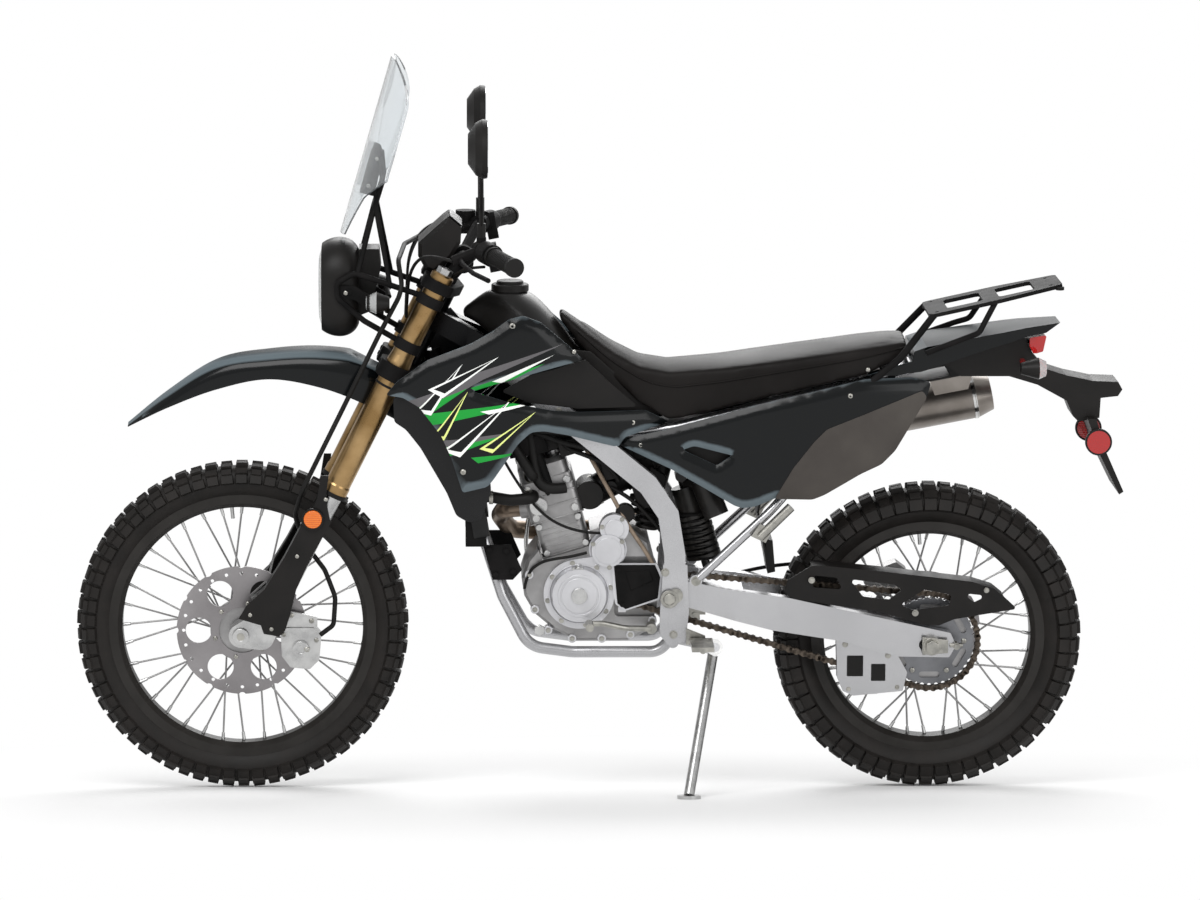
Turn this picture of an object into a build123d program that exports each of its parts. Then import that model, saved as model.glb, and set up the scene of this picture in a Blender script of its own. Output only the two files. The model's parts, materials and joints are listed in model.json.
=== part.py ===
from build123d import *
import math
import os

# A dual sport motorcycle parked on its side stand, in millimetres.
# The pieces are drawn on the upright machine: the origin is on the ground below the front axle,
# +X runs to the rear, +Y to the rider's right and +Z up.  The last section leans them all over
# onto the stand.  "out" is a distance from the middle plane, counted towards the left.

os.makedirs("parts", exist_ok=True)

# ---- driving dimensions -------------------------------------------------------------------
WHEELBASE = 1440.0
LEAN = 9.0                      # degrees, towards the side stand on the left
FIT = 0.3                       # gap between pieces that seat on each other
SLEEVE_GAP = 0.2                # round pieces gripped by their clamps
AXLE_GAP = 0.2                  # axles in the pieces that hold them
BEARING_GAP = 0.35              # axles and stems in the pieces that turn on them
LEGS = (-1, 1)                  # right and left, as signs of "out"

# wheels: radii from the axle, widths are half widths
FRONT_TYRE_R = 350.0
FRONT_TYRE_W = 42.0
FRONT_RIM_R = 280.0             # flange
FRONT_RIM_W = 26.0
REAR_TYRE_R = 327.0
REAR_TYRE_W = 57.0
REAR_RIM_R = 246.0
REAR_RIM_W = 34.0
FLANGE = 4.0                    # rim flange thickness
RIM_WELL = 18.5                 # the channel's floor below the flange
RIM_DEPTH = 28.0                # flange to spoke face
SPOKES = 36
SPOKE_D = 4.0
SPOKE_GAP = 0.9                 # spoke ends to the rim's inner face

# front end
RAKE = 26.5                     # degrees
AXLE_LEAD = 40.0                # axle ahead of the fork legs' line
STEM_LAG = 20.0                 # steering stem behind the fork legs' line
LEG_OUT = 102.0
LEG_D = 43.0                    # sliding tube
SLEEVE_D = 52.0                 # outer tube below the lower clamp
SLEEVE_TOP_D = 48.0             # outer tube between the clamps
SLEEVE_FOOT = 356.0             # distances up the fork line, from beside the axle
LOWER_CLAMP = 620.0
LOWER_CLAMP_T = 34.0
UPPER_CLAMP = 826.0
UPPER_CLAMP_T = 24.0
SLEEVE_TOP = 862.0
STEM_D = 26.0
HEAD_TUBE_D = 54.0
FRONT_AXLE_D = 20.0
FRONT_DISC_R = 136.0
FRONT_DISC_OUT = 66.0
DISC_T = 4.5
FOOT_INNER = 77.0               # inner face of the fork feet

# rear end and drive
REAR_AXLE_D = 25.0
SWINGARM_PIVOT = (904.0, 436.0)
PIVOT_D = 17.0
CHAIN_PITCH = 15.875
CHAIN_OUT = 74.0
CHAIN_W = 17.0
CHAIN_H = 15.0
REAR_TEETH = 40
FRONT_TEETH = 14
DRIVE_CENTRE = (831.0, 441.0)   # gearbox sprocket
SWINGARM_OUT = 102.0
SWINGARM_T = 28.0
SIDE_STAND_PIVOT = (985.0, 325.0)
STAND_OUT = 127.0
STAND_LEG = 352.0
STAND_D = 22.0
STAND_FOOT_D = 49.0
STAND_FORWARD = 60.0            # foot ahead of its pivot when down

REAR_DISC_OUT = -72.0
REAR_DISC_R = 120.0
SPROCKET_T = 7.0

# frame
SPAR_OUT = 114.0
SPAR_T = 26.0
SPAR_H = 44.0
CRADLE_D = 24.0

# ---- planes and places worked out from them -----------------------------------------------
SIDE = Plane.XZ                 # side outlines are (x, z) points; its normal points left
FRONT_AXLE = (0.0, FRONT_TYRE_R)
REAR_AXLE = (WHEELBASE, REAR_TYRE_R)
FRONT_RIM_FACE = FRONT_RIM_R - RIM_DEPTH
REAR_RIM_FACE = REAR_RIM_R - RIM_DEPTH
HUB_BORE = FRONT_AXLE_D / 2 + BEARING_GAP
REAR_HUB_BORE = REAR_AXLE_D / 2 + BEARING_GAP
DISC_SEAT = FRONT_DISC_OUT - DISC_T / 2
SPROCKET_SEAT = CHAIN_OUT - SPROCKET_T / 2
REAR_PITCH_R = CHAIN_PITCH / 2 / math.sin(math.pi / REAR_TEETH)
FRONT_PITCH_R = CHAIN_PITCH / 2 / math.sin(math.pi / FRONT_TEETH)
SPROCKET_R = REAR_PITCH_R - CHAIN_H / 2 - 0.8   # teeth end just inside the chain
SIN_RAKE = math.sin(math.radians(RAKE))
COS_RAKE = math.cos(math.radians(RAKE))

# FORK: z runs up the fork legs, x to the rear, and the origin is beside the front axle
FORK = Plane(
    origin=(AXLE_LEAD * COS_RAKE, 0, FRONT_TYRE_R - AXLE_LEAD * SIN_RAKE),
    x_dir=(COS_RAKE, 0, -SIN_RAKE),
    z_dir=(SIN_RAKE, 0, COS_RAKE),
)


# the side stand: down, its foot is on the ground that the leaning tyres roll on
STAND_GROUND = -1.05 * REAR_TYRE_W * (1 - math.cos(math.radians(LEAN)))
SIN_LEAN, COS_LEAN = math.sin(math.radians(LEAN)), math.cos(math.radians(LEAN))
UPWARD = Vector(0, SIN_LEAN, COS_LEAN)
SIDEWAYS = Vector(0, -COS_LEAN, SIN_LEAN)
STAND_HINGE = Vector(SIDE_STAND_PIVOT[0], -STAND_OUT, SIDE_STAND_PIVOT[1])
HINGE_HEIGHT = STAND_HINGE.dot(UPWARD) - STAND_GROUND
STAND_ASIDE = math.sqrt(STAND_LEG ** 2 - HINGE_HEIGHT ** 2 - STAND_FORWARD ** 2)
STAND_FOOT = STAND_HINGE + Vector(-STAND_FORWARD, 0, 0) + SIDEWAYS * STAND_ASIDE - UPWARD * HINGE_HEIGHT
DOWN = (STAND_FOOT - STAND_HINGE).normalized()
STOWED = Vector(339, -55, 74).normalized()
SWING = (DOWN - STOWED).normalized()
STAND_AXIS = (Vector(0, 1, 0) - SWING * SWING.Y).normalized()
STAND_PIN_D = 10.0
HEAD_T = 12.0


def fork_point(back, out, up):
    """The point at these distances behind, left of and up the fork legs' line."""
    return FORK.from_local_coords(Vector(back, -out, up))


def wheel_section(axle):
    """The half plane that a wheel's section is drawn in: x to the right, y out from the axle."""
    return Plane(origin=(axle[0], 0, axle[1]), x_dir=(0, 1, 0), z_dir=(1, 0, 0))


def wheel_axis(axle):
    """The axis that a wheel turns about."""
    return Axis((axle[0], 0, axle[1]), (0, 1, 0))


def bar(start, end, diameter):
    """A straight round bar from one point to another."""
    run = Vector(*end) - Vector(*start)
    with BuildSketch(Plane(origin=Vector(*start), z_dir=run)) as section:
        Circle(diameter / 2)
    with BuildPart() as made:
        extrude(to_extrude=section.sketch, amount=run.length)
    return made.part


def across(place, diameter, left, right):
    """A round bar across the machine at (x, z), between two distances out."""
    return bar((place[0], -left, place[1]), (place[0], -right, place[1]), diameter)


def fork_bar(back, out, low, high, diameter):
    """A round bar parallel to the fork legs, between two heights up the fork line."""
    return bar(fork_point(back, out, low), fork_point(back, out, high), diameter)


def pipe(points, diameter, bend, bore=0):
    """A round tube along straight runs that are joined by tangent arcs."""
    with BuildLine() as route:
        FilletPolyline(*points, radius=bend)
    with BuildSketch(Plane(origin=route.line @ 0, z_dir=route.line % 0)) as section:
        Circle(diameter / 2)
        if bore:
            Circle(bore / 2, mode=Mode.SUBTRACT)
    with BuildPart() as made:
        sweep(sections=section.sketch, path=route.line)
    return made.part


def boss(place, radius, inner, outer, draft=0.0):
    """A round boss across the machine at (x, z) that narrows outward by a draft in degrees."""
    start = Vector(place[0], -inner, place[1])
    run = Vector(0, inner - outer, 0)
    tip = radius - abs(outer - inner) * math.tan(math.radians(draft))
    with BuildSketch(Plane(origin=start, z_dir=run)) as base:
        Circle(radius)
    with BuildSketch(Plane(origin=start + run, z_dir=run)) as crest:
        Circle(tip)
    return loft([base.sketch, crest.sketch])


def oval_cone(start, run, wide, tall, tip_wide, tip_tall):
    """A tapered boss of oval section that stands along +X or -X from a centre point."""
    with BuildSketch(Plane(origin=start, x_dir=(0, 1, 0), z_dir=(run, 0, 0))) as base:
        Ellipse(wide, tall)
    with BuildSketch(Plane(origin=start, x_dir=(0, 1, 0), z_dir=(run, 0, 0)).offset(abs(run))) as tip:
        Ellipse(tip_wide, tip_tall)
    return loft([base.sketch, tip.sketch])


def slab(outline, inner, outer, corner=0):
    """A plate with a side outline of (x, z) points, from one distance out to another."""
    with BuildSketch(SIDE.offset(inner)) as shape:
        Polygon(*outline, align=None)
        if corner:
            fillet(shape.vertices(), corner)
    with BuildPart() as made:
        extrude(to_extrude=shape.sketch, amount=outer - inner)
    return made.part


def plan_block(outline, low, high):
    """A block with a top outline of (x, out) points, from one height to another."""
    with BuildSketch(Plane.XY.offset(low)) as shape:
        Polygon(*[(x, -out) for x, out in outline], align=None)
    with BuildPart() as made:
        extrude(to_extrude=shape.sketch, amount=high - low)
    return made.part


def both_plans(outline, low, high):
    """A block that is the same to the left and right, from its (x, out) points on the left."""
    mirrored = [(x, -out) for x, out in reversed(outline)]
    return plan_block(outline + mirrored, low, high)


def dome_sheet(centre, radius, thickness):
    """A round shell, for panels that bulge both ways; centre is (x, out, z)."""
    middle = Location((centre[0], -centre[1], centre[2]))
    with BuildPart(middle) as made:
        Sphere(radius)
        Sphere(radius - thickness, mode=Mode.SUBTRACT)
    return made.part


def other_side(shape):
    """The mirror image of a piece, on the other side of the middle plane."""
    return mirror(shape, about=Plane.XZ)


# ---- wheels -------------------------------------------------------------------------------
def tyre(axle, radius, half, rim_radius, rim_half):
    """A tyre that seats between the rim's flanges, as one ring out to the tips of its lugs."""
    bead = rim_half - FLANGE - FIT
    foot = rim_radius - RIM_WELL + FIT
    edge = rim_radius + 2
    shoulder = (half * 0.84, radius - half * 0.42)
    waist = (half, (edge + shoulder[1]) / 2 + 6)
    with BuildPart() as made:
        with BuildSketch(wheel_section(axle)) as section:
            with BuildLine():
                Line((bead, foot), (bead, edge))
                ThreePointArc((bead, edge), waist, shoulder)
                ThreePointArc(shoulder, (0, radius), (-shoulder[0], shoulder[1]))
                ThreePointArc((-shoulder[0], shoulder[1]), (-waist[0], waist[1]), (-bead, edge))
                Line((-bead, edge), (-bead, foot))
                Line((-bead, foot), (bead, foot))
            make_face()
        revolve(axis=wheel_axis(axle))
    return made


def rim(axle, flange, half):
    """A drop-centre rim with two flanges and sloping walls down to the spoke face."""
    well = flange - RIM_WELL
    face = flange - RIM_DEPTH
    with BuildPart() as made:
        with BuildSketch(wheel_section(axle)) as section:
            with BuildLine():
                Polyline(
                    (half, flange), (half - FLANGE, flange), (half - FLANGE, well),
                    (FLANGE - half, well), (FLANGE - half, flange), (-half, flange),
                    (-half, well), (-half * 0.6, face), (half * 0.6, face),
                    (half, well), close=True,
                )
            make_face()
        revolve(axis=wheel_axis(axle))
    return made


def spokes(axle, hub_radius, hub_out, rim_radius):
    """Crossed spokes, half of them laced to each hub flange, leading and trailing by turns."""
    laced = []
    step = 360 / SPOKES
    for count in range(SPOKES):
        side = 1 if count % 2 else -1
        lead = 1 if count // 2 % 2 else -1
        at_rim = math.radians(count * step)
        at_hub = math.radians(count * step - lead * 68)
        start = (
            axle[0] + hub_radius * math.cos(at_hub),
            side * (hub_out + lead * 2.6),
            axle[1] + hub_radius * math.sin(at_hub),
        )
        end = (
            axle[0] + (rim_radius - SPOKE_GAP) * math.cos(at_rim),
            side * (5 + lead * 2.6),
            axle[1] + (rim_radius - SPOKE_GAP) * math.sin(at_rim),
        )
        laced.append(bar(start, end, SPOKE_D))
    return laced


def hub(axle, profile, hub_radius, hub_out, rim_radius):
    """A spoked hub: a turned body from its (out, radius) profile, with its spokes laced in."""
    with BuildPart() as made:
        with BuildSketch(wheel_section(axle)) as section:
            Polygon(*[(-out, radius) for out, radius in profile], align=None)
        revolve(axis=wheel_axis(axle))
        add(spokes(axle, hub_radius, hub_out, rim_radius))
    return made


def brake_disc(axle, out, radius, petals, bolts, arms_in):
    """A petal-edged disc with rows of drillings and a ring of round windows."""
    band = 0.77 * radius
    plane = Plane(origin=(axle[0], -out, axle[1]), x_dir=(1, 0, 0), z_dir=(0, -1, 0))
    wave = 0.02 * radius
    with BuildPart() as made:
        with BuildSketch(plane) as face:
            Circle(radius)
            with PolarLocations(radius + 1.6 * wave, petals):
                Circle(3 * wave, mode=Mode.SUBTRACT)
            with PolarLocations(band * 0.86, bolts):
                Circle(radius * 0.2, mode=Mode.SUBTRACT)
            Circle(arms_in, mode=Mode.SUBTRACT)
            with PolarLocations((radius + band) / 2 + 1, 2 * petals):
                Circle(radius * 0.027, mode=Mode.SUBTRACT)
        extrude(amount=DISC_T / 2, both=True)
    return made


front_tyre = tyre(FRONT_AXLE, FRONT_TYRE_R, FRONT_TYRE_W, FRONT_RIM_R, FRONT_RIM_W)
rear_tyre = tyre(REAR_AXLE, REAR_TYRE_R, REAR_TYRE_W, REAR_RIM_R, REAR_RIM_W)
front_rim = rim(FRONT_AXLE, FRONT_RIM_R, FRONT_RIM_W)
rear_rim = rim(REAR_AXLE, REAR_RIM_R, REAR_RIM_W)


front_hub = hub(
    FRONT_AXLE,
    [
        (DISC_SEAT, HUB_BORE), (DISC_SEAT, 66), (DISC_SEAT - 5, 66), (DISC_SEAT - 9, 34),
        (34, 34), (34, 37), (26, 37), (20, 21), (-20, 21), (-26, 37), (-34, 37), (-34, 22),
        (-60, 22), (-60, HUB_BORE),
    ],
    32, 30, FRONT_RIM_FACE,
)
rear_hub = hub(
    REAR_AXLE,
    [
        (SPROCKET_SEAT, REAR_HUB_BORE), (SPROCKET_SEAT, 80), (SPROCKET_SEAT - 7, 80),
        (SPROCKET_SEAT - 12, 62), (46, 56), (42, 56), (32, 56), (27, 34), (-27, 34), (-32, 56),
        (-42, 56), (-42, 40), (REAR_DISC_OUT + DISC_T / 2 + 5, 40),
        (REAR_DISC_OUT + DISC_T / 2 + 5, 58), (REAR_DISC_OUT + DISC_T / 2, 58),
        (REAR_DISC_OUT + DISC_T / 2, REAR_HUB_BORE),
    ],
    51, 37, REAR_RIM_FACE,
)
front_disc = brake_disc(FRONT_AXLE, FRONT_DISC_OUT, FRONT_DISC_R, 12, 6, 48)
rear_disc = brake_disc(REAR_AXLE, REAR_DISC_OUT, REAR_DISC_R, 10, 5, 42)

with BuildPart() as rear_sprocket:
    with BuildSketch(SIDE.offset(CHAIN_OUT)) as toothed:
        with Locations(REAR_AXLE):
            Circle(SPROCKET_R)
            with PolarLocations(SPROCKET_R + 2.2, REAR_TEETH):
                Circle(4.6, mode=Mode.SUBTRACT)
            with PolarLocations(72, 6, start_angle=30):
                SlotOverall(44, 13, rotation=90, mode=Mode.SUBTRACT)
            Circle(REAR_HUB_BORE + 20, mode=Mode.SUBTRACT)
    extrude(amount=SPROCKET_T / 2, both=True)


# ---- steering: everything that turns with the handlebar -------------------------------------


with BuildPart() as front_axle:
    for left, right in ((131, -131), (136, 128), (-128, -136)):
        size = FRONT_AXLE_D if left + right == 0 else 30
        add(across(FRONT_AXLE, size, left, right))
    add(across(FRONT_AXLE, 32, FOOT_INNER - FIT, DISC_SEAT + FIT))
    add(across(FRONT_AXLE, 32, -60 - FIT, FIT - FOOT_INNER))

with BuildPart() as triple_clamps:
    for level, depth, grip in (
        (LOWER_CLAMP, LOWER_CLAMP_T, SLEEVE_D), (UPPER_CLAMP, UPPER_CLAMP_T, SLEEVE_TOP_D)
    ):
        with BuildSketch(FORK.offset(level)) as plate:
            with Locations((0, LEG_OUT), (0, -LEG_OUT)):
                Circle(grip / 2 + 10)
            with Locations((STEM_LAG, 0)):
                Circle(36)
            make_hull()
            with Locations((-LEG_OUT * 0.85, 0)):
                Circle(LEG_OUT * 0.72, mode=Mode.SUBTRACT)
            with Locations((0, LEG_OUT), (0, -LEG_OUT)):
                Circle(grip / 2 + SLEEVE_GAP, mode=Mode.SUBTRACT)
        extrude(amount=depth)
    chamfer(faces().filter_by(FORK).edges(), 1.5)
    add(fork_bar(STEM_LAG, 0, LOWER_CLAMP + 2, UPPER_CLAMP + UPPER_CLAMP_T + 8, STEM_D))
    add(fork_bar(STEM_LAG, 0, UPPER_CLAMP + UPPER_CLAMP_T - 1, UPPER_CLAMP + UPPER_CLAMP_T + 7, 36))

with BuildPart() as fork_sleeves:
    for side in LEGS:
        with BuildSketch(Plane(fork_point(0, side * LEG_OUT, 0), FORK.x_dir, -FORK.y_dir)):
            Polygon(
                (0, SLEEVE_FOOT + 44), (LEG_D / 2 + FIT, SLEEVE_FOOT + 44),
                (LEG_D / 2 + FIT, SLEEVE_FOOT), (SLEEVE_D / 2 + 1.5, SLEEVE_FOOT),
                (SLEEVE_D / 2 + 1.5, SLEEVE_FOOT + 16), (SLEEVE_D / 2, SLEEVE_FOOT + 20),
                (SLEEVE_D / 2, LOWER_CLAMP + LOWER_CLAMP_T + 6),
                (SLEEVE_TOP_D / 2, LOWER_CLAMP + LOWER_CLAMP_T + 22),
                (SLEEVE_TOP_D / 2, SLEEVE_TOP), (SLEEVE_TOP_D / 2 - 3, SLEEVE_TOP + 3),
                (9, SLEEVE_TOP + 3), (9, SLEEVE_TOP + 10), (0, SLEEVE_TOP + 10), align=None,
            )
        revolve(axis=Axis(fork_point(0, side * LEG_OUT, 0), FORK.z_dir))

CALIPER_PLACE = (123.0, 316.0)
with BuildPart() as fork_sliders:
    for side in LEGS:
        add(fork_bar(0, side * LEG_OUT, 20, SLEEVE_FOOT + 42, LEG_D))
        inner = FOOT_INNER if side > 0 else -FOOT_INNER - 50
        with BuildSketch(SIDE.offset(inner)):
            with Locations(FRONT_AXLE):
                Circle(25)
            for up in (16, 64):
                middle = fork_point(0, 0, up)
                with Locations((middle.X, middle.Z)):
                    Circle(26)
            make_hull()
            with Locations(FRONT_AXLE):
                Circle(FRONT_AXLE_D / 2 + AXLE_GAP, mode=Mode.SUBTRACT)
        extrude(amount=50)
        add(fork_bar(0, side * LEG_OUT, 70, 96, LEG_D + 12))
    # the caliper's carrier, behind the left foot
    add(slab([(58, 400), (84, 398), (158, 382), (158, 360.3), (95, 360.3), (74, 352)], 78, 88))

with BuildPart() as fork_guards:
    guard_outer = 133.5
    guard_inner = 92.0
    shell = 3.0
    edge_points = [
        (168, 690), (184, 690), (178, 640), (188, 590), (146, 516), (116, 450), (103, 396),
        (92, 362), (80, 350), (48, 356), (42, 374), (-4, 388), (12, 415), (50, 450), (90, 515),
        (124, 579), (150, 618), (160, 640),
    ]
    add(slab(edge_points, guard_inner, guard_outer))
    add(slab([(x + shell, z - 1) for x, z in edge_points[9:]] + [(160, 700), (230, 700), (230, 340)],
             guard_inner - 1, guard_outer - shell), mode=Mode.SUBTRACT)
    # only the outer wall runs on down beside the foot
    add(slab([(-40, 434), (230, 434), (230, 330), (-40, 330)], guard_inner - 1, guard_outer - shell),
        mode=Mode.SUBTRACT)
    add(across((151, 599), 22, guard_outer - 1, guard_outer + 5))
    add(other_side(fork_guards.part))

def ribbon_section(x, half, top, low, wall):
    """An upside-down trough's section across the machine at one x."""
    with BuildSketch(Plane(origin=(x, 0, 0), x_dir=(0, 1, 0), z_dir=(1, 0, 0))) as cut:
        with BuildLine():
            Polyline(
                (-half, low), (-half * 0.97, top - half * 0.34), (-half * 0.62, top - 3),
                (0, top), (half * 0.62, top - 3), (half * 0.97, top - half * 0.34),
                (half, low), (half - wall, low), (half * 0.97 - wall, top - half * 0.34 - wall / 2),
                (half * 0.62 - wall / 2, top - 3 - wall), (0, top - wall),
                (wall / 2 - half * 0.62, top - 3 - wall),
                (wall - half * 0.97, top - half * 0.34 - wall / 2), (wall - half, low), close=True,
            )
        make_face()
    return cut.sketch


FENDER_STATIONS = (             # x, half width, top, lower edge
    (-236, 30, 793, 772),
    (-150, 47, 850, 818),
    (-48, 58, 914, 858),
    (60, 64, 934, 880),
    (170, 68, 939, 862),
    (262, 66, 922, 826),
    (330, 58, 862, 790),
)
with BuildPart() as front_fender:
    add(loft([ribbon_section(*station, 4.0) for station in FENDER_STATIONS], ruled=True))
    # the flat on which it bolts up against the lower clamp
    with BuildSketch(FORK.offset(LOWER_CLAMP - FIT)):
        Rectangle(2 * LEG_OUT + 200, 2 * LEG_OUT, rotation=0)
    extrude(amount=60, mode=Mode.SUBTRACT)


def lamp_section(x, width, height, corner, level):
    """A rounded face across the machine at x, centred at a height."""
    with BuildSketch(Plane(origin=(x, 0, level), x_dir=(0, 1, 0), z_dir=(1, 0, 0))) as cut:
        RectangleRounded(width, height, corner)
    return cut.sketch


LAMP_LEVEL = 1066.0
with BuildPart() as headlight:
    add(loft([
        lamp_section(169, 164, 176, 62, LAMP_LEVEL), lamp_section(190, 176, 198, 70, LAMP_LEVEL),
        lamp_section(226, 172, 194, 68, LAMP_LEVEL), lamp_section(246, 140, 150, 55, LAMP_LEVEL),
    ]))
    add(loft([
        lamp_section(160, 152, 164, 56, LAMP_LEVEL), lamp_section(180, 152, 164, 56, LAMP_LEVEL),
        lamp_section(220, 80, 88, 34, LAMP_LEVEL),
    ], ruled=True), mode=Mode.SUBTRACT)
    add(slab([(246, 1150), (288, 1150), (292, 1110), (270, 1020), (246, 1010)], -42, 42))

with BuildPart() as headlight_lens:
    add(loft([
        lamp_section(163, 90, 100, 40, LAMP_LEVEL), lamp_section(168, 140, 152, 52, LAMP_LEVEL),
        lamp_section(171, 151, 163, 55.5, LAMP_LEVEL),
    ]))

with BuildPart() as fairing_bracket:
    ring_low = LOWER_CLAMP + LOWER_CLAMP_T + 34
    ring_high = UPPER_CLAMP - 34
    for level in (ring_low, ring_high):
        add(fork_bar(0, LEG_OUT, level, level + 22, SLEEVE_TOP_D + 9))
        add(fork_bar(0, LEG_OUT, level - 1, level + 23, SLEEVE_TOP_D + 2 * SLEEVE_GAP),
            mode=Mode.SUBTRACT)
    high = fork_point(-27, 94, ring_high + 11)
    low = fork_point(-27, 94, ring_low + 11)
    add(pipe(
        [(high.X, high.Y, high.Z), (238, -99, 1108), (201, -99, 1086), (203, -99, 1056),
         (258, -97, 1008), (low.X, low.Y, low.Z)], 12, [18, 16, 18, 30],
    ))
    add(other_side(fairing_bracket.part))
    for side in LEGS:
        add(across((228, 1068), 12, side * 87, side * 98))
        add(slab([(198, 1082), (240, 1080), (300, 1040), (298, 1020), (236, 1052), (198, 1060)],
                 *sorted((side * 90.5, side * 96))))
    # the windshield's stays, fanning up from the lamp bracket's cross bars
    for side in LEGS:
        add(pipe([(245, -side * 98, 1107), (277, -side * 62, 1232), (297, -side * 60, 1296),
                  (292, -side * 60, 1345)], 11, [40, 40]))
        add(bar((311, -side * 98, 1085), (281, -side * 62, 1243), 10))
        add(slab([(276, 1362), (290, 1356), (296, 1338), (280, 1262), (250, 1270)],
                 *sorted((side * 57, side * 62))))
    add(bar((279, -61, 1238), (279, 61, 1238), 10))

WINDSHIELD_FOOT = (208.0, 1184.0)
WINDSHIELD_TOP = (289.0, 1462.0)
with BuildPart() as windshield:
    rise = Vector(WINDSHIELD_TOP[0] - WINDSHIELD_FOOT[0], 0, WINDSHIELD_TOP[1] - WINDSHIELD_FOOT[1])
    screen = Plane(
        origin=(WINDSHIELD_FOOT[0], 0, WINDSHIELD_FOOT[1]), x_dir=(0, 1, 0), z_dir=rise.normalized()
    )
    bow = 172.0
    with BuildSketch(screen) as curve:
        with Locations((0, -bow)):
            Circle(bow)
            Circle(bow - 3.5, mode=Mode.SUBTRACT)
        with Locations((0, -2 * bow + 74)):
            Rectangle(4 * bow, 2 * bow + 2, align=(Align.CENTER, Align.MAX), mode=Mode.SUBTRACT)
    extrude(amount=390, both=True)
    with BuildSketch(Plane(origin=(0, 0, 0), x_dir=(0, 1, 0), z_dir=(1, 0, 0))) as front_view:
        with BuildLine():
            Polyline((-52, 1182), (52, 1182))
            Line((52, 1182), (88, 1262))
            Line((88, 1262), (128, 1300))
            Line((128, 1300), (128, 1440))
            ThreePointArc((128, 1440), (92, 1520), (0, 1548))
            ThreePointArc((0, 1548), (-92, 1520), (-128, 1440))
            Line((-128, 1440), (-128, 1300))
            Line((-128, 1300), (-88, 1262))
            Line((-88, 1262), (-52, 1182))
        make_face()
    extrude(amount=600, mode=Mode.INTERSECT)

BAR_CENTRE = (462.0, 1124.0)
BAR_BEND = (462.0, -84.0, 1124.0)
BAR_SHOULDER = (494.0, -196.0, 1172.0)
BAR_END = (563.0, -404.0, 1162.0)
HANDLEBAR_ROUTE = ((BAR_CENTRE[0], 0, BAR_CENTRE[1]), BAR_BEND, BAR_SHOULDER, BAR_END)
HANDLEBAR_BENDS = [60, 80]
HANDLEBAR_D = 22.0
RISER_OUT = 50.0
with BuildPart() as handlebar:
    add(pipe(HANDLEBAR_ROUTE, HANDLEBAR_D, HANDLEBAR_BENDS))
    add(other_side(handlebar.part))
    add(across(BAR_CENTRE, 28, 76, -76))
    riser = UPPER_CLAMP + UPPER_CLAMP_T + FIT
    for side in LEGS:
        add(fork_bar(16, side * RISER_OUT, riser, riser + 12, 36))
        add(bar(fork_point(16, side * RISER_OUT, riser + 10),
                (BAR_CENTRE[0], -side * RISER_OUT, BAR_CENTRE[1]), 30))
        add(across(BAR_CENTRE, 44, side * RISER_OUT + 13, side * RISER_OUT - 13))


def along_bar(start, end):
    """Two points on the handlebar's left arm, at shares of its outer run."""
    first, last = Vector(*BAR_SHOULDER), Vector(*BAR_END)
    return first + (last - first) * start, first + (last - first) * end


with BuildPart() as grips:
    for start, end, size in ((0.46, 0.985, 33), (0.42, 0.46, 40), (0.985, 1.03, 39)):
        add(bar(*along_bar(start, end), size))
    add(pipe(HANDLEBAR_ROUTE, HANDLEBAR_D + 2 * SLEEVE_GAP, HANDLEBAR_BENDS), mode=Mode.SUBTRACT)
    add(other_side(grips.part))

PERCH_TIP = (439.8, -224.8, 1150.5)
with BuildPart() as hand_controls:
    add(bar(*along_bar(0.19, 0.40), 46))
    add(bar(*along_bar(0.02, 0.12), 36))
    add(bar((488, -216, 1168), PERCH_TIP, 20))
    add(bar((499, -211, 1174), (499, -211, 1197), 20))
    with BuildSketch(Plane(origin=(512, -250, 1160), x_dir=(0, 1, 0), z_dir=(1, 0, 0.2))):
        RectangleRounded(40, 58, 9)
    extrude(amount=22)
    add(pipe(HANDLEBAR_ROUTE, HANDLEBAR_D + 2 * SLEEVE_GAP, HANDLEBAR_BENDS), mode=Mode.SUBTRACT)
    add(pipe([(455, -218, 1155), (462, -262, 1148), (482, -330, 1140), (512, -408, 1136)], 10,
             [40, 60]))
    add(other_side(hand_controls.part))
    # the brake fluid pot on the right
    add(bar((468, 236, 1148), (468, 236, 1196), 42))

MIRROR_CENTRE = (500.0, -330.0, 1392.0)
with BuildPart() as mirrors:
    add(oval_cone(MIRROR_CENTRE, 9, 68, 60, 67, 59))
    add(oval_cone(MIRROR_CENTRE, -14, 68, 60, 60, 52))
    add(oval_cone((MIRROR_CENTRE[0] - 13, *MIRROR_CENTRE[1:]), -16, 60.5, 52.5, 36, 30))
    add(pipe([(499, -211, 1210), (499, -226, 1256), (498, -296, 1330), (497, -318, 1368)], 10,
             [50, 60]))
    add(bar((499, -211, 1197 + FIT), (499, -211, 1226), 18))
    add(other_side(mirrors.part))

with BuildPart() as instruments:
    with BuildSketch(SIDE.offset(-66)):
        Polygon((421, 1212), (432, 1220), (459, 1197), (457, 1165), (439, 1135), (402, 1102),
                (384, 1111), (369, 1138), (369, 1165), align=None)
    extrude(amount=132)
    chamfer(faces().filter_by(Axis.Y).edges(), 8)
    for side in LEGS:
        add(fork_bar(-5, side * 22, UPPER_CLAMP + UPPER_CLAMP_T + FIT, 892, 12))

with BuildPart() as front_indicators:
    add(oval_cone((284, -140, 1052), -20, 26, 22, 17, 14))
    add(oval_cone((283, -140, 1052), 28, 26, 22, 16, 12))
    add(bar((298, -132, 1052), (306, -98, 1030), 13))
    add(other_side(front_indicators.part))

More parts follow.
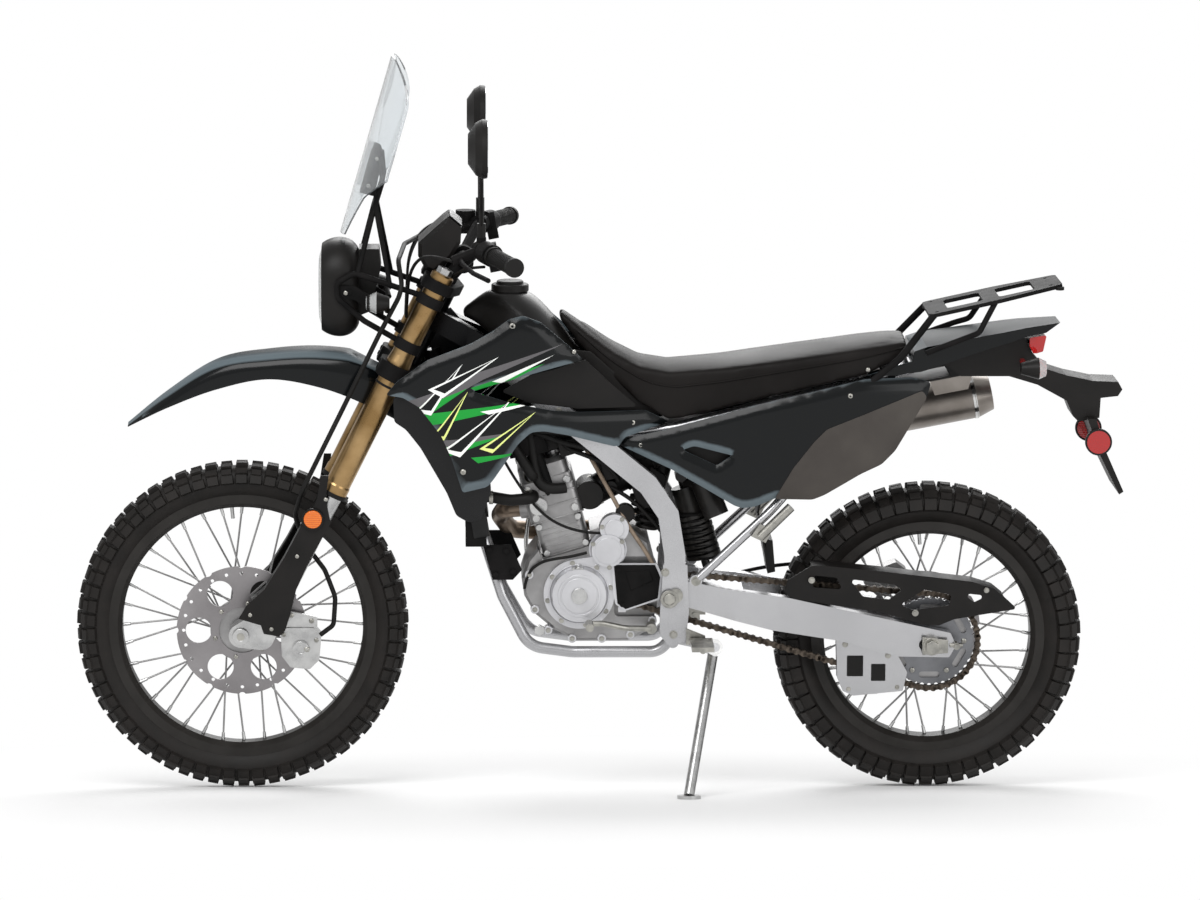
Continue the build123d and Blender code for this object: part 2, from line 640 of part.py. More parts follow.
with BuildPart() as front_caliper:
    add(slab([(82, 346), (94, 360), (150, 360), (166, 342), (162, 292), (142, 272), (102, 276),
              (84, 300)], 44, 94, 5))
    add(across(FRONT_AXLE, 2 * FRONT_DISC_R + 11, FRONT_DISC_OUT + DISC_T / 2 + 5,
               FRONT_DISC_OUT - DISC_T / 2 - 5), mode=Mode.SUBTRACT)
    add(across(CALIPER_PLACE, 36, 90, 101))

with BuildPart() as brake_hose:
    add(pipe(
        [(439.5, 224.9, 1150.4), (418, 228.8, 1142.6), (376, 190, 1150), (340, 70, 1146), (328, -70, 1130),
         (338, -136, 1078), (290, -120, 985), (215, -113, 830), (172, -136, 746), (128, -124, 655),
         (112, -82, 596), (134, -68, 532), (174, -76, 480), (196, -90, 425), (192, -92, 366),
         (164 + FIT, -92, 345)],
        10, [20, 30, 60, 50, 40, 90, 120, 80, 50, 40, 50, 50, 40, 16],
    ))


# ---- chassis: frame, engine and running gear ------------------------------------------------
def strip(points, height):
    """A side outline that follows a route of (x, z) points at half a height either side."""
    upper, lower = [], []
    for index, (x, z) in enumerate(points):
        before = points[max(index - 1, 0)]
        after = points[min(index + 1, len(points) - 1)]
        run = math.hypot(after[0] - before[0], after[1] - before[1])
        nx, nz = -(after[1] - before[1]) / run, (after[0] - before[0]) / run
        upper.append((x + nx * height / 2, z + nz * height / 2))
        lower.append((x - nx * height / 2, z - nz * height / 2))
    return upper + lower[::-1]


SPAR_ROUTE = ((398, 1004), (500, 952), (676, 808), (846, 668), (888, 606), (902, 520), (903, 345))
CRADLE_ROUTE = ((470, 640), (505, 540), (545, 420), (600, 318), (690, 306), (870, 306), (903, 340))
SPAR_INNER = SPAR_OUT - SPAR_T / 2
SPAR_OUTER = SPAR_OUT + SPAR_T / 2
CRADLE_OUT = 82.0

with BuildPart() as frame:
    # two box-section spars that part from the head tube and run down to the swingarm's pivot
    with BuildSketch(SIDE.offset(-SPAR_OUTER - 5)) as spar_side:
        Polygon(*strip(SPAR_ROUTE, SPAR_H), align=None)
    extrude(amount=2 * SPAR_OUTER + 10)
    add(both_plans([(360, 30), (470, 58), (520, 84), (610, SPAR_OUTER), (960, SPAR_OUTER)], 300, 1100),
        mode=Mode.INTERSECT)
    add(both_plans([(450, -1), (450, 6), (528, 62), (622, SPAR_INNER), (975, SPAR_INNER)], 299, 1101),
        mode=Mode.SUBTRACT)
    # pivot plates
    add(slab([(878, 500), (928, 500), (932, 400), (926, 338), (892, 326), (872, 350), (872, 400)],
             SPAR_INNER + 6, SPAR_OUTER))
    add(slab([(878, 500), (928, 500), (932, 400), (926, 338), (892, 326), (872, 350), (872, 400)],
             -SPAR_OUTER, -SPAR_INNER - 6))
    # head tube, bored for the steering stem
    add(fork_bar(STEM_LAG, 0, LOWER_CLAMP + LOWER_CLAMP_T + 3, UPPER_CLAMP - 3, HEAD_TUBE_D))
    # downtube, and the two cradle tubes that carry the engine
    add(pipe([(396, 0, 935), (412, 0, 880), (478, 0, 640)], 38, [120]))
    for side in LEGS:
        add(pipe(
            [(470, -side * 8, 660)] + [
                (x, -side * min(CRADLE_OUT, 30 + 26 * index), z)
                for index, (x, z) in enumerate(CRADLE_ROUTE[1:])
            ], CRADLE_D, [60, 60, 55, 90, 40],
        ))
        add(bar((903, -side * CRADLE_OUT, 338), (903, -side * (SPAR_INNER + 4), 338), CRADLE_D))
    add(across((884, 598), 26, SPAR_INNER + 2, -SPAR_INNER - 2))
    add(across((900, 330), 24, SPAR_INNER + 2, -SPAR_INNER - 2))
    add(across((608, 862), 20, SPAR_INNER + 2, -SPAR_INNER - 2))
    add(slab([(388, 1010), (436, 1022), (500, 950), (486, 880), (420, 850), (400, 900)], -5, 5))
    # the side stand's lug and pin
    lug = STAND_HINGE + STAND_AXIS * (HEAD_T / 2 + FIT)
    pin_end = STAND_HINGE - STAND_AXIS * (HEAD_T / 2 + FIT)
    add(bar(lug, lug + STAND_AXIS * 14, 34))
    add(bar(pin_end, lug, STAND_PIN_D))
    add(bar(pin_end, pin_end - STAND_AXIS * 7, 18))
    add(bar(lug + STAND_AXIS * 9.5, (908, 2 - SPAR_OUT, 338), 18))
    # bores for the steering stem and the swingarm's bolt
    add(fork_bar(STEM_LAG, 0, LOWER_CLAMP, UPPER_CLAMP, STEM_D + 0.7), mode=Mode.SUBTRACT)
    add(across(SWINGARM_PIVOT, PIVOT_D + 0.4, 160, -160), mode=Mode.SUBTRACT)

RAIL_OUT = 80.0                 # seat rails, beside the airbox
RAIL_D = 22.0
STRUT_OUT = 124.0
with BuildPart() as subframe:
    for side in LEGS:
        add(pipe([(742, -side * RAIL_OUT, 764), (892, -side * RAIL_OUT, 779),
                  (1116, -side * RAIL_OUT, 838), (1290, -side * RAIL_OUT, 876),
                  (1396, -side * RAIL_OUT, 906)], RAIL_D, [300, 300, 300]))
        add(pipe([(942, -side * STRUT_OUT, 462), (1100, -side * 114, 610),
                  (1200, -side * 84, 720), (1300, -side * RAIL_OUT, 874)], 19, [200, 150]))
        add(across((946, 466), 26, side * (STRUT_OUT + 6), side * (SPAR_INNER + 6)))
        add(across((750, 765), 20, side * (RAIL_OUT - 4), side * (SPAR_INNER - FIT)))
    add(across((1110, 836), 18, RAIL_OUT, -RAIL_OUT))
    add(across((1300, 880), 18, RAIL_OUT, -RAIL_OUT))
    add(both_plans([(1330, RAIL_OUT), (1396, RAIL_OUT)], 897, 903))

ENGINE = Plane(origin=(680, 0, 516), x_dir=(0.958, 0, 0.287), z_dir=(-0.287, 0, 0.958))
with BuildPart() as crankcase:
    with BuildSketch(SIDE.offset(-76)):
        Polygon((596, 500), (584, 462), (590, 424), (612, 386), (652, 352), (700, 328), (806, 328),
                (856, 352), (868, 400), (868, 470), (850, 540), (790, 580), (720, 560), (628, 540),
                align=None)
        fillet(vertices(), 8)
    extrude(amount=152)
    chamfer(faces().filter_by(Axis.Y).edges(), 6)
    # the cylinder's seat, and the recess that the chain's front turn runs in
    with BuildSketch(ENGINE):
        RectangleRounded(116, 160, 10)
    extrude(amount=120, mode=Mode.SUBTRACT)
    add(slab([(778, 508), (900, 508), (900, 380), (778, 380)], 58, 90, 10), mode=Mode.SUBTRACT)
    # the gearbox's output shaft, with the small sprocket inside the chain's front turn
    add(across(DRIVE_CENTRE, 30, 86, 56))
    add(across(DRIVE_CENTRE, 2 * (FRONT_PITCH_R - CHAIN_H / 2 - 0.6), CHAIN_OUT + 3.5, CHAIN_OUT - 3))

with BuildPart() as cylinder:
    with BuildSketch(ENGINE.offset(FIT)):
        RectangleRounded(102, 118, 16)
    extrude(amount=76)
    with BuildSketch(ENGINE.offset(76)):
        RectangleRounded(112, 138, 14)
    extrude(amount=86)
    with BuildSketch(ENGINE.offset(162)):
        RectangleRounded(104, 128, 18)
    extrude(amount=38)
    chamfer(faces().filter_by(ENGINE).sort_by(Axis.Z)[-1].edges(), 10)
    with BuildSketch(ENGINE.offset(5)):
        RectangleRounded(108, 124, 16)
    extrude(amount=4)
    # exhaust port boss, facing forward
    add(bar((628, -4, 602), (584, 4, 597), 46))

FLYWHEEL = (704.0, 431.0)
with BuildPart() as engine_covers:
    with BuildSketch(SIDE.offset(76 + FIT)):
        with Locations(FLYWHEEL):
            Circle(74)
        with Locations((748, 480)):
            Circle(32)
        make_hull()
    extrude(amount=14)
    add(boss(FLYWHEEL, 61, 90, 110, 14))
    add(boss((764, 524), 37, 76 + FIT, 100, 6))
    add(boss((777, 570), 32, 76 + FIT, 94, 6))
    add(across(FLYWHEEL, 20, 115, 108))
    # the clutch cover on the right
    add(boss((800, 440), 76, -76 - FIT, -108, 10))
    add(boss((706, 430), 58, -76 - FIT, -98, 10))
    # the small sprocket's cover, on two posts
    with BuildSketch(SIDE.offset(88)):
        Polygon((772, 497), (866, 497), (878, 470), (872, 420), (800, 396), (780, 410), (775, 431),
                align=None)
        fillet(vertices(), 7)
    extrude(amount=8)
    add(slab([(778, 490), (792, 490), (792, 478), (778, 478)], 76.2, 90))
    add(slab([(786, 404), (802, 404), (802, 392), (786, 392)], 76.2, 90))

with BuildPart() as throttle_body:
    add(bar((728, 0, 630), (800, 0, 668), 62))
    add(bar((790, 0, 663), (876, 0, 735), 72))
    with BuildSketch(Plane(origin=(866, 0, 744), x_dir=(0, 1, 0), z_dir=(1, 0, 0.1))):
        RectangleRounded(126, 76, 16)
    extrude(amount=170)
    add(across((770, 652), 26, 64, -60))

RADIATOR = Plane(origin=(478, 0, 690), x_dir=(0, -1, 0), z_dir=(0.985, 0, 0.174))
with BuildPart() as radiators:
    with BuildSketch(RADIATOR.offset(-16)):
        with Locations((108, 0), (-108, 0)):
            RectangleRounded(80, 262, 6)
    extrude(amount=32)
    with BuildSketch(RADIATOR.offset(-16)):
        with Locations((108, 0), (-108, 0)):
            Rectangle(64, 210)
    extrude(amount=6, mode=Mode.SUBTRACT)
    for side in LEGS:
        add(bar((468, -side * 72, 742), (459, -side * 18, 742), 12))

with BuildPart() as coolant_hoses:
    add(pipe([(490, -100, 644), (560, -101, 632), (608, -100, 636), (608, -66, 636)], 24, [60, 14]))
    add(pipe([(472, -100, 792), (560, -99, 756), (608, -100, 680), (608, -66, 680)], 22, [60, 14]))
    add(radiators.part, mode=Mode.SUBTRACT)
    add(cylinder.part, mode=Mode.SUBTRACT)

with BuildPart() as exhaust_header:
    add(pipe([(583.7, 4.1, 596.9), (548, 10.6, 592.8), (540, 52, 572), (562, 106, 532),
              (650, 136, 520), (800, 150, 530), (1010, 152, 600), (1090, 152, 706),
              (1150, 152, 733), (1195.7, 152, 741.9)], 38, [20, 34, 40, 60, 160, 120, 60, 60]))

MUFFLER_TILT = 11.0
with BuildPart() as muffler:
    canister = Plane(
        origin=(1196, 152, 742), x_dir=(0, 1, 0),
        z_dir=(math.cos(math.radians(MUFFLER_TILT)), 0, math.sin(math.radians(MUFFLER_TILT))),
    )
    with BuildSketch(canister):
        Ellipse(32, 28)
    with BuildSketch(canister.offset(60)):
        Ellipse(54, 47)
    loft()
    with BuildSketch(canister.offset(60)):
        Ellipse(54, 47)
    extrude(amount=300)
    with BuildSketch(canister.offset(360)):
        Ellipse(54, 47)
    extrude(amount=34, taper=18)
    with BuildSketch(canister.offset(394)):
        Circle(22)
    extrude(amount=-40, mode=Mode.SUBTRACT)
    add(slab([(1435, 888), (1505, 906), (1549, 898), (1530, 830), (1460, 818)], -114, -106))

ARM_INNER = SWINGARM_OUT - SWINGARM_T / 2
ARM_OUTER = SWINGARM_OUT + SWINGARM_T / 2
ARM_OUTLINE = ((882, 456), (925, 460), (1005, 446), (1142, 427), (1280, 396), (1390, 372),
               (1480, 352), (1492, 326), (1478, 300), (1372, 302), (1246, 336), (1108, 358),
               (1000, 386), (930, 404), (882, 416))
ARM_PLAN = ((870, 72), (960, 72), (1040, ARM_INNER), (1500, ARM_INNER), (1500, ARM_OUTER),
            (1030, ARM_OUTER), (950, 100), (870, 100))      # it swings out behind the frame
with BuildPart() as swingarm:
    add(slab(ARM_OUTLINE, 60, 120, 6))
    add(plan_block(ARM_PLAN, 250, 500), mode=Mode.INTERSECT)
    add(other_side(swingarm.part))
    add(slab([(944, 448), (1048, 436), (1048, 372), (960, 398)], -90, 90))
    add(across(SWINGARM_PIVOT, 48, SPAR_INNER - FIT, FIT - SPAR_INNER))
    # the pivot's bore and the axle's slots
    add(across(SWINGARM_PIVOT, PIVOT_D + 0.4, 160, -160), mode=Mode.SUBTRACT)
    for side in LEGS:
        with BuildSketch(SIDE.offset(side * SWINGARM_OUT)):
            with Locations((REAR_AXLE[0] + 4, REAR_AXLE[1])):
                SlotOverall(60, REAR_AXLE_D + 2 * AXLE_GAP)
        extrude(amount=SWINGARM_T, both=True, mode=Mode.SUBTRACT)

with BuildPart() as rear_axles:
    add(across(SWINGARM_PIVOT, PIVOT_D, 128, -128))
    add(across(SWINGARM_PIVOT, 30, SPAR_OUTER + FIT, SPAR_OUTER + 9))
    add(across(SWINGARM_PIVOT, 30, -SPAR_OUTER - 9, -SPAR_OUTER - FIT))
    add(across(REAR_AXLE, REAR_AXLE_D, 133, -133))
    for sign in LEGS:
        add(across(REAR_AXLE, 38, sign * (ARM_OUTER + FIT), sign * (ARM_OUTER + 14)))
    add(across(REAR_AXLE, 36, ARM_INNER - FIT, SPROCKET_SEAT + FIT))
    add(across(REAR_AXLE, 36, REAR_DISC_OUT + DISC_T / 2 - FIT, FIT - ARM_INNER))

SHOCK_TOP = Vector(918, 0, 668)
SHOCK_FOOT = Vector(978, 0, 462)


def shock_point(share):
    """A point on the shock's line, at a share of the way down."""
    return SHOCK_TOP + (SHOCK_FOOT - SHOCK_TOP) * share


with BuildPart() as shock:
    add(bar(SHOCK_TOP, SHOCK_FOOT, 18))
    add(bar(shock_point(0.12), shock_point(0.40), 56))
    for turn in range(8):
        add(bar(shock_point(0.40 + turn * 0.058), shock_point(0.435 + turn * 0.058), 74))
    add(bar(shock_point(0.36), shock_point(0.86), 48))
    add(bar((962, -40, 664), (992, -52, 590), 53))
    add(bar((930, -10, 650), (972, -42, 652), 24))
    add(across((SHOCK_TOP.X, SHOCK_TOP.Z), 24, 24, -24))

with BuildPart() as drive_chain:
    with BuildSketch(SIDE.offset(CHAIN_OUT)) as loop:
        with BuildLine() as path:
            lean_up = math.atan2(
                REAR_AXLE[1] + REAR_PITCH_R - DRIVE_CENTRE[1] - FRONT_PITCH_R,
                REAR_AXLE[0] - DRIVE_CENTRE[0],
            )
            gap = math.hypot(REAR_AXLE[0] - DRIVE_CENTRE[0], REAR_AXLE[1] - DRIVE_CENTRE[1])
            line = math.atan2(REAR_AXLE[1] - DRIVE_CENTRE[1], REAR_AXLE[0] - DRIVE_CENTRE[0])
            spread = math.asin((REAR_PITCH_R - FRONT_PITCH_R) / gap)
            up = line + math.pi / 2 + spread
            down = line - math.pi / 2 - spread

            def rim_point(centre, radius, angle):
                """A point on a sprocket's pitch circle."""
                return (centre[0] + radius * math.cos(angle), centre[1] + radius * math.sin(angle))

            front_top = rim_point(DRIVE_CENTRE, FRONT_PITCH_R, up)
            rear_top = rim_point(REAR_AXLE, REAR_PITCH_R, up)
            rear_low = rim_point(REAR_AXLE, REAR_PITCH_R, down - 0.07)
            front_low = rim_point(DRIVE_CENTRE, FRONT_PITCH_R, down + 0.07)
            sag = ((rear_low[0] + front_low[0]) / 2, (rear_low[1] + front_low[1]) / 2 - 20)
            Line(front_top, rear_top)
            ThreePointArc(rear_top, rim_point(REAR_AXLE, REAR_PITCH_R, line), rear_low)
            ThreePointArc(rear_low, sag, front_low)
            ThreePointArc(front_low, rim_point(DRIVE_CENTRE, FRONT_PITCH_R, line + math.pi), front_top)
        make_face()
        offset(amount=CHAIN_H / 2)
        with BuildLine():
            add(path.line)
        inner_face = make_face(mode=Mode.PRIVATE)
        add(offset(inner_face, amount=-CHAIN_H / 2, mode=Mode.PRIVATE), mode=Mode.SUBTRACT)
    extrude(amount=CHAIN_W / 2, both=True)

GUARD_OUT = ARM_OUTER + FIT
GUARD_OUTLINE = ((1130, 440), (1138, 466), (1187, 496), (1216, 496), (1334, 484), (1523, 462),
                 (1568, 448), (1590, 430), (1618, 404), (1532, 390), (1486, 382), (1455, 369),
                 (1420, 371), (1337, 396), (1151, 426))
with BuildPart() as chain_guard:
    add(slab(GUARD_OUTLINE, GUARD_OUT, GUARD_OUT + 4, 4))
    for window in (
        ((1192, 476), (1240, 471), (1252, 446), (1190, 450)),
        ((1266, 468), (1360, 456), (1378, 446), (1350, 424), (1296, 430)),
        ((1372, 412), (1424, 446), (1480, 434), (1476, 412), (1400, 402)),
        ((1502, 438), (1556, 432), (1528, 418)),
    ):
        add(slab(window, GUARD_OUT - 1, GUARD_OUT + 5, 5), mode=Mode.SUBTRACT)
    # its top lip reaches in over the chain
    top_lip = list(GUARD_OUTLINE[2:8])
    add(slab(top_lip + [(x, z - 4) for x, z in reversed(top_lip)], 62, GUARD_OUT + 1))

with BuildPart() as chain_guide:
    plate = [(1243, 332), (1250, 336), (1370, 303), (1393, 262), (1384, 222), (1280, 212),
             (1258, 222), (1246, 250)]
    add(slab(plate, 59.3, 62.5, 4))
    add(slab([(1262, 236), (1340, 222), (1330, 216), (1284, 214)], 59.3, 87.7))
    add(slab([(1252, 330), (1266, 330), (1366, 302), (1366, 292), (1262, 314)], 59.3, 87.7))
    # it stays clear of the sprocket and of the chain on it
    add(across(REAR_AXLE, 2 * (REAR_PITCH_R + CHAIN_H / 2 + 3), 59, 84.5), mode=Mode.SUBTRACT)
    add(slab(plate, 84.5, 87.7, 4))

CALIPER = (1352.0, 440.0)
with BuildPart() as rear_brake:
    add(slab([(1310, 424), (1322, 448), (1378, 470), (1402, 452), (1398, 420), (1340, 396)], -98, -52, 4))
    add(across(REAR_AXLE, 2 * REAR_DISC_R + 11, REAR_DISC_OUT + DISC_T / 2 + 5,
               REAR_DISC_OUT - DISC_T / 2 - 5), mode=Mode.SUBTRACT)


# ---- bodywork, controls and the rear --------------------------------------------------------
def saddle_section(x, half, top, low, drop, grow=0.0):
    """A section across the machine: a flat base, leaning sides and a crowned top."""
    half, top = half + grow, top + grow
    with BuildSketch(Plane(origin=(x, 0, 0), x_dir=(0, 1, 0), z_dir=(1, 0, 0))) as cut:
        with BuildLine():
            Line((-half, low), (half, low))
            Line((half, low), (half * 0.9, top - drop))
            ThreePointArc((half * 0.9, top - drop), (0, top), (-half * 0.9, top - drop))
            Line((-half * 0.9, top - drop), (-half, low))
        make_face()
    return cut.sketch


TANK_STATIONS = (               # x, half width, top, underside, crown
    (462, 18, 1022, 1004, 6),
    (486, 26, 1040, 994, 12),
    (533, 64, 1067, 960, 30),
    (600, 112, 1055, 905, 52),
    (648, 104, 1010, 868, 44),
    (704, 92, 936, 864, 24),
    (758, 84, 886, 862, 8),
)
CAP_PLACE = (560, 0, 1056)
CAP_D = 78.0
with BuildPart() as fuel_tank:
    add(loft([saddle_section(*station) for station in TANK_STATIONS]))
    add(bar(CAP_PLACE, (560, 0, 1100), CAP_D + 2 * FIT), mode=Mode.SUBTRACT)

with BuildPart() as fuel_cap:
    add(bar((560, 0, 1056 + FIT), (560, 0, 1072), CAP_D))
    add(bar((560, 0, 1071), (560, 0, 1079), CAP_D - 22))
    chamfer(faces().filter_by(Axis.Z).edges(), 2)

SEAT_STATIONS = (               # x, half width, top, underside, crown
    (662, 34, 1025, 1004, 4),
    (712, 62, 991, 942, 12),
    (768, 84, 953, 888, 14),
    (828, 100, 922, 834, 14),
    (890, 112, 911, 800, 12),
    (1000, 120, 920, 826, 12),
    (1116, 126, 936, 856, 12),
    (1290, 118, 961, 894, 12),
    (1384, 96, 972, 934, 10),
)
with BuildPart() as seat:
    add(loft([saddle_section(*station) for station in SEAT_STATIONS], ruled=True))

SHROUD_OUTLINE = ((303, 866), (326, 894), (389, 939), (479, 973), (524, 998), (556, 1021),
                  (584, 1028), (621, 1014), (678, 965), (709, 934), (647, 919), (535, 890),
                  (481, 874), (551, 851), (646, 830), (700, 826), (838, 824), (889, 797),
                  (796, 768), (783, 748), (678, 778), (628, 788), (602, 786), (576, 763),
                  (525, 688), (512, 672), (461, 660), (438, 733), (417, 781), (372, 841),
                  (338, 861))
SHROUD_T = 4.0
with BuildPart() as shrouds:
    add(slab(SHROUD_OUTLINE, 60, 220))
    add(dome_sheet((400, 190 - 1400, 850), 1400, SHROUD_T), mode=Mode.INTERSECT)
    add(other_side(shrouds.part))

SCOOP_OUTLINE = ((303, 856), (302, 804), (330, 788), (365, 748), (399, 696), (424, 654), (446, 607),
                 (474, 594), (500, 600), (520, 660), (512, 760), (470, 850), (380, 872))
with BuildPart() as air_scoops:
    add(slab(SCOOP_OUTLINE, 153, 157, 6))
    add(other_side(air_scoops.part))

TANK_SIDE = ((600, 900), (650, 912), (714, 932), (770, 880), (824, 834), (700, 830), (600, 842),
             (540, 866))
with BuildPart() as tank_panels:
    add(slab(TANK_SIDE, 128, 131.5, 4))
    for place in ((640, 890), (690, 884)):
        add(across(place, 14, 80, 129))
    add(fuel_tank.part, mode=Mode.SUBTRACT)
    add(other_side(tank_panels.part))

COVER_TOP = ((798, 764), (893, 788), (1064, 838), (1293, 891), (1392, 893), (1432, 881))
COVER_DOME = ((1120, 150 - 1700, 760), 1700)
COVER_LEFT = COVER_TOP + (
    (1423, 852), (1357, 742), (1329, 714), (1285, 694), (1211, 651), (1186, 641), (1109, 643),
    (1068, 625), (1042, 621), (1025, 626), (957, 666), (893, 702), (787, 750))
COVER_RIGHT = COVER_TOP + (      # it ends above the muffler
    (1424, 864), (1250, 816), (1130, 774), (1060, 704), (957, 672), (893, 702), (787, 750))
with BuildPart() as side_covers:
    add(slab(COVER_RIGHT, 60, 180))
    add(dome_sheet(*COVER_DOME, 4), mode=Mode.INTERSECT)
    add(other_side(side_covers.part), mode=Mode.REPLACE)
    add(slab(COVER_LEFT, 60, 180) & dome_sheet(*COVER_DOME, 4))
    add(slab([(916, 743), (940, 752), (1019, 733), (987, 711)], 60, 180, 5), mode=Mode.SUBTRACT)

with BuildPart() as tail_cowl:
    add(slab([(1300, 896), (1392, 925), (1396, 946), (1422, 955), (1554, 977), (1630, 989),
              (1705, 997), (1675, 977), (1635, 971), (1530, 941), (1450, 915), (1410, 903),
              (1330, 894)], -112, 112))
    add(both_plans([(1290, 112), (1420, 108), (1600, 80), (1706, 46)], 800, 1100),
        mode=Mode.INTERSECT)
    add(both_plans([(1290, 104), (1420, 98)], 800, 924), mode=Mode.SUBTRACT)
    for side in LEGS:
        add(across((1350, 894), 16, side * (RAIL_OUT + RAIL_D / 2 + FIT), side * 105))

PLATE_OUT = 84.0                # half width of the number plate's bracket
with BuildPart() as rear_fender:
    add(slab([(1462, 912), (1530, 936), (1632, 965), (1650, 930), (1676, 900), (1720, 886),
              (1777, 874), (1829, 872), (1838, 856), (1829, 842), (1793, 838), (1791, 796),
              (1747, 788), (1735, 800), (1722, 832), (1660, 866), (1600, 884), (1500, 884)],
             -46, 46))
    add(slab([(1762, 800), (1780, 800), (1803, 728), (1840, 646), (1831, 640), (1790, 722)],
             -PLATE_OUT, PLATE_OUT))
    # the inner fender over the tyre and its flap in front
    arch = ((1096, 500), (1078, 600), (1100, 700), (1180, 790), (1300, 850), (1476, 886))
    add(slab(strip(arch, 4), -62, 62))
    add(slab([(1096, 540), (1110, 536), (1116, 470), (1100, 466), (1094, 500)], -50, 50))

with BuildPart() as rear_lights:
    add(slab([(1641, 967), (1676, 972), (1669, 938), (1656, 934), (1648.6, 934),
              (1640.5, 950)], -58, 58, 3))
    for side in LEGS:
        # indicator: a cone with its lens behind, on a stalk
        add(oval_cone((1649, -side * 150, 917), -35, 26, 22, 15, 11))
        add(oval_cone((1648, -side * 150, 917), 16, 26, 22, 19, 15))
        add(bar((1632, -side * 150, 917), (1628, -side * (46 + FIT), 915), 13))
        # round reflector on the number plate's bracket
        add(across((1785, 752), 50, side * (PLATE_OUT + FIT), side * (PLATE_OUT + 8)))

RACK = Plane(origin=(1429, 0, 1012), x_dir=(0.976, 0, 0.2177), z_dir=(-0.2177, 0, 0.976))
RACK_T = 8.0
with BuildPart() as luggage_rack:
    with BuildSketch(RACK):
        Polygon((0, -92), (0, 92), (150, 92), (285, 70), (285, -70), (150, -92), align=None)
        fillet(vertices(), 14)
        with Locations((80, 0), (190, 0)):
            RectangleRounded(76, 110, 10, mode=Mode.SUBTRACT)
        with Locations((18, 72), (18, -72), (262, 52), (262, -52)):
            Circle(4.5, mode=Mode.SUBTRACT)
    extrude(amount=RACK_T)
    for side in LEGS:
        add(pipe([(1306, -side * 122.5, 884), (1366, -side * 122.5, 934), (1436, -side * 84, 1016)], 15,
                 [40]))
        add(pipe([(1420, -side * 118, 944), (1500, -side * 112, 974), (1530, -side * 104, 984),
                  (1566, -side * 80, 1046)], 12, [60, 24]))
        add(across((1306, 884), 14, side * (RAIL_OUT + RAIL_D / 2 + FIT), side * 124))

PEG = (957.0, 340.0)
with BuildPart() as foot_controls:
    for side in LEGS:
        add(slab([(934, 348), (980, 348), (980, 338), (934, 338)], *sorted((side * 143, side * 238))))
        add(bar((957, -side * 124, 340), (957, -side * 232, 340), 14))
        add(slab([(926, 366), (966, 350), (968, 330), (926, 332)], *sorted((side * 127.3, side * 135))))
    # passenger pegs, folded up
    for side in LEGS:
        add(bar((1078, -side * 134, 560), (1142, -side * 136, 624), 20))
        add(slab([(1060, 562), (1078, 588), (1104, 576), (1090, 548)], *sorted((side * 126.3, side * 137))))
    # gear pedal on the left, brake pedal on the right
    add(across((854, 364), 22, 100, 128))
    add(pipe([(854, -124, 364), (800, -130, 366), (752, -146, 380), (722, -150, 380)], 12, [60, 40]))
    add(across((724, 380), 17, 146, 192))
    add(across((880, 352), 24, -129, -152))
    add(pipe([(880, 146, 352), (820, 150, 350), (762, 164, 362), (728, 166, 372)], 12, [60, 40]))
    add(slab([(716, 380), (740, 380), (742, 368), (716, 366)], -196, -158))

with BuildPart() as side_stand:
    with BuildSketch(Plane(origin=STAND_HINGE - STAND_AXIS * HEAD_T / 2, z_dir=STAND_AXIS)):
        Circle(17)
    extrude(amount=HEAD_T)
    add(bar(STAND_HINGE + DOWN * 8, STAND_FOOT + UPWARD * 6, STAND_D))
    add(bar(STAND_FOOT, STAND_FOOT + UPWARD * 7, STAND_FOOT_D))
    add(bar(STAND_HINGE - STAND_AXIS * 12, STAND_HINGE + STAND_AXIS * 12, STAND_PIN_D + 2 * BEARING_GAP),
        mode=Mode.SUBTRACT)
    # flats either side of the head, for the lug and the bolt's head
    for sign in LEGS:
        with BuildSketch(Plane(origin=STAND_HINGE + STAND_AXIS * sign * HEAD_T / 2,
                               z_dir=STAND_AXIS * sign)):
            Circle(19)
        extrude(amount=20, mode=Mode.SUBTRACT)


PIECES = {
    "frame": frame, "subframe": subframe, "crankcase": crankcase, "cylinder": cylinder,
    "engine_covers": engine_covers, "throttle_body": throttle_body, "radiators": radiators,
    "coolant_hoses": coolant_hoses, "exhaust_header": exhaust_header, "muffler": muffler,
    "swingarm": swingarm, "rear_axles": rear_axles, "shock": shock, "drive_chain": drive_chain,
    "chain_guard": chain_guard, "chain_guide": chain_guide, "rear_brake": rear_brake,
    "fuel_tank": fuel_tank, "fuel_cap": fuel_cap, "seat": seat, "shrouds": shrouds,
    "air_scoops": air_scoops, "tank_panels": tank_panels, "side_covers": side_covers,
    "tail_cowl": tail_cowl, "rear_fender": rear_fender, "rear_lights": rear_lights,
    "luggage_rack": luggage_rack, "foot_controls": foot_controls, "side_stand": side_stand,
    "front_axle": front_axle, "triple_clamps": triple_clamps, "fork_sleeves": fork_sleeves,
    "fork_sliders": fork_sliders, "fork_guards": fork_guards, "front_fender": front_fender,
    "headlight": headlight, "headlight_lens": headlight_lens, "fairing_bracket": fairing_bracket,
    "windshield": windshield, "handlebar": handlebar, "grips": grips,
    "hand_controls": hand_controls, "mirrors": mirrors, "instruments": instruments,
    "front_indicators": front_indicators, "front_caliper": front_caliper,
    "brake_hose": brake_hose,
    "front_tyre": front_tyre, "front_rim": front_rim, "front_hub": front_hub,
    "front_disc": front_disc, "rear_tyre": rear_tyre, "rear_rim": rear_rim,
    "rear_hub": rear_hub, "rear_disc": rear_disc, "rear_sprocket": rear_sprocket,
}

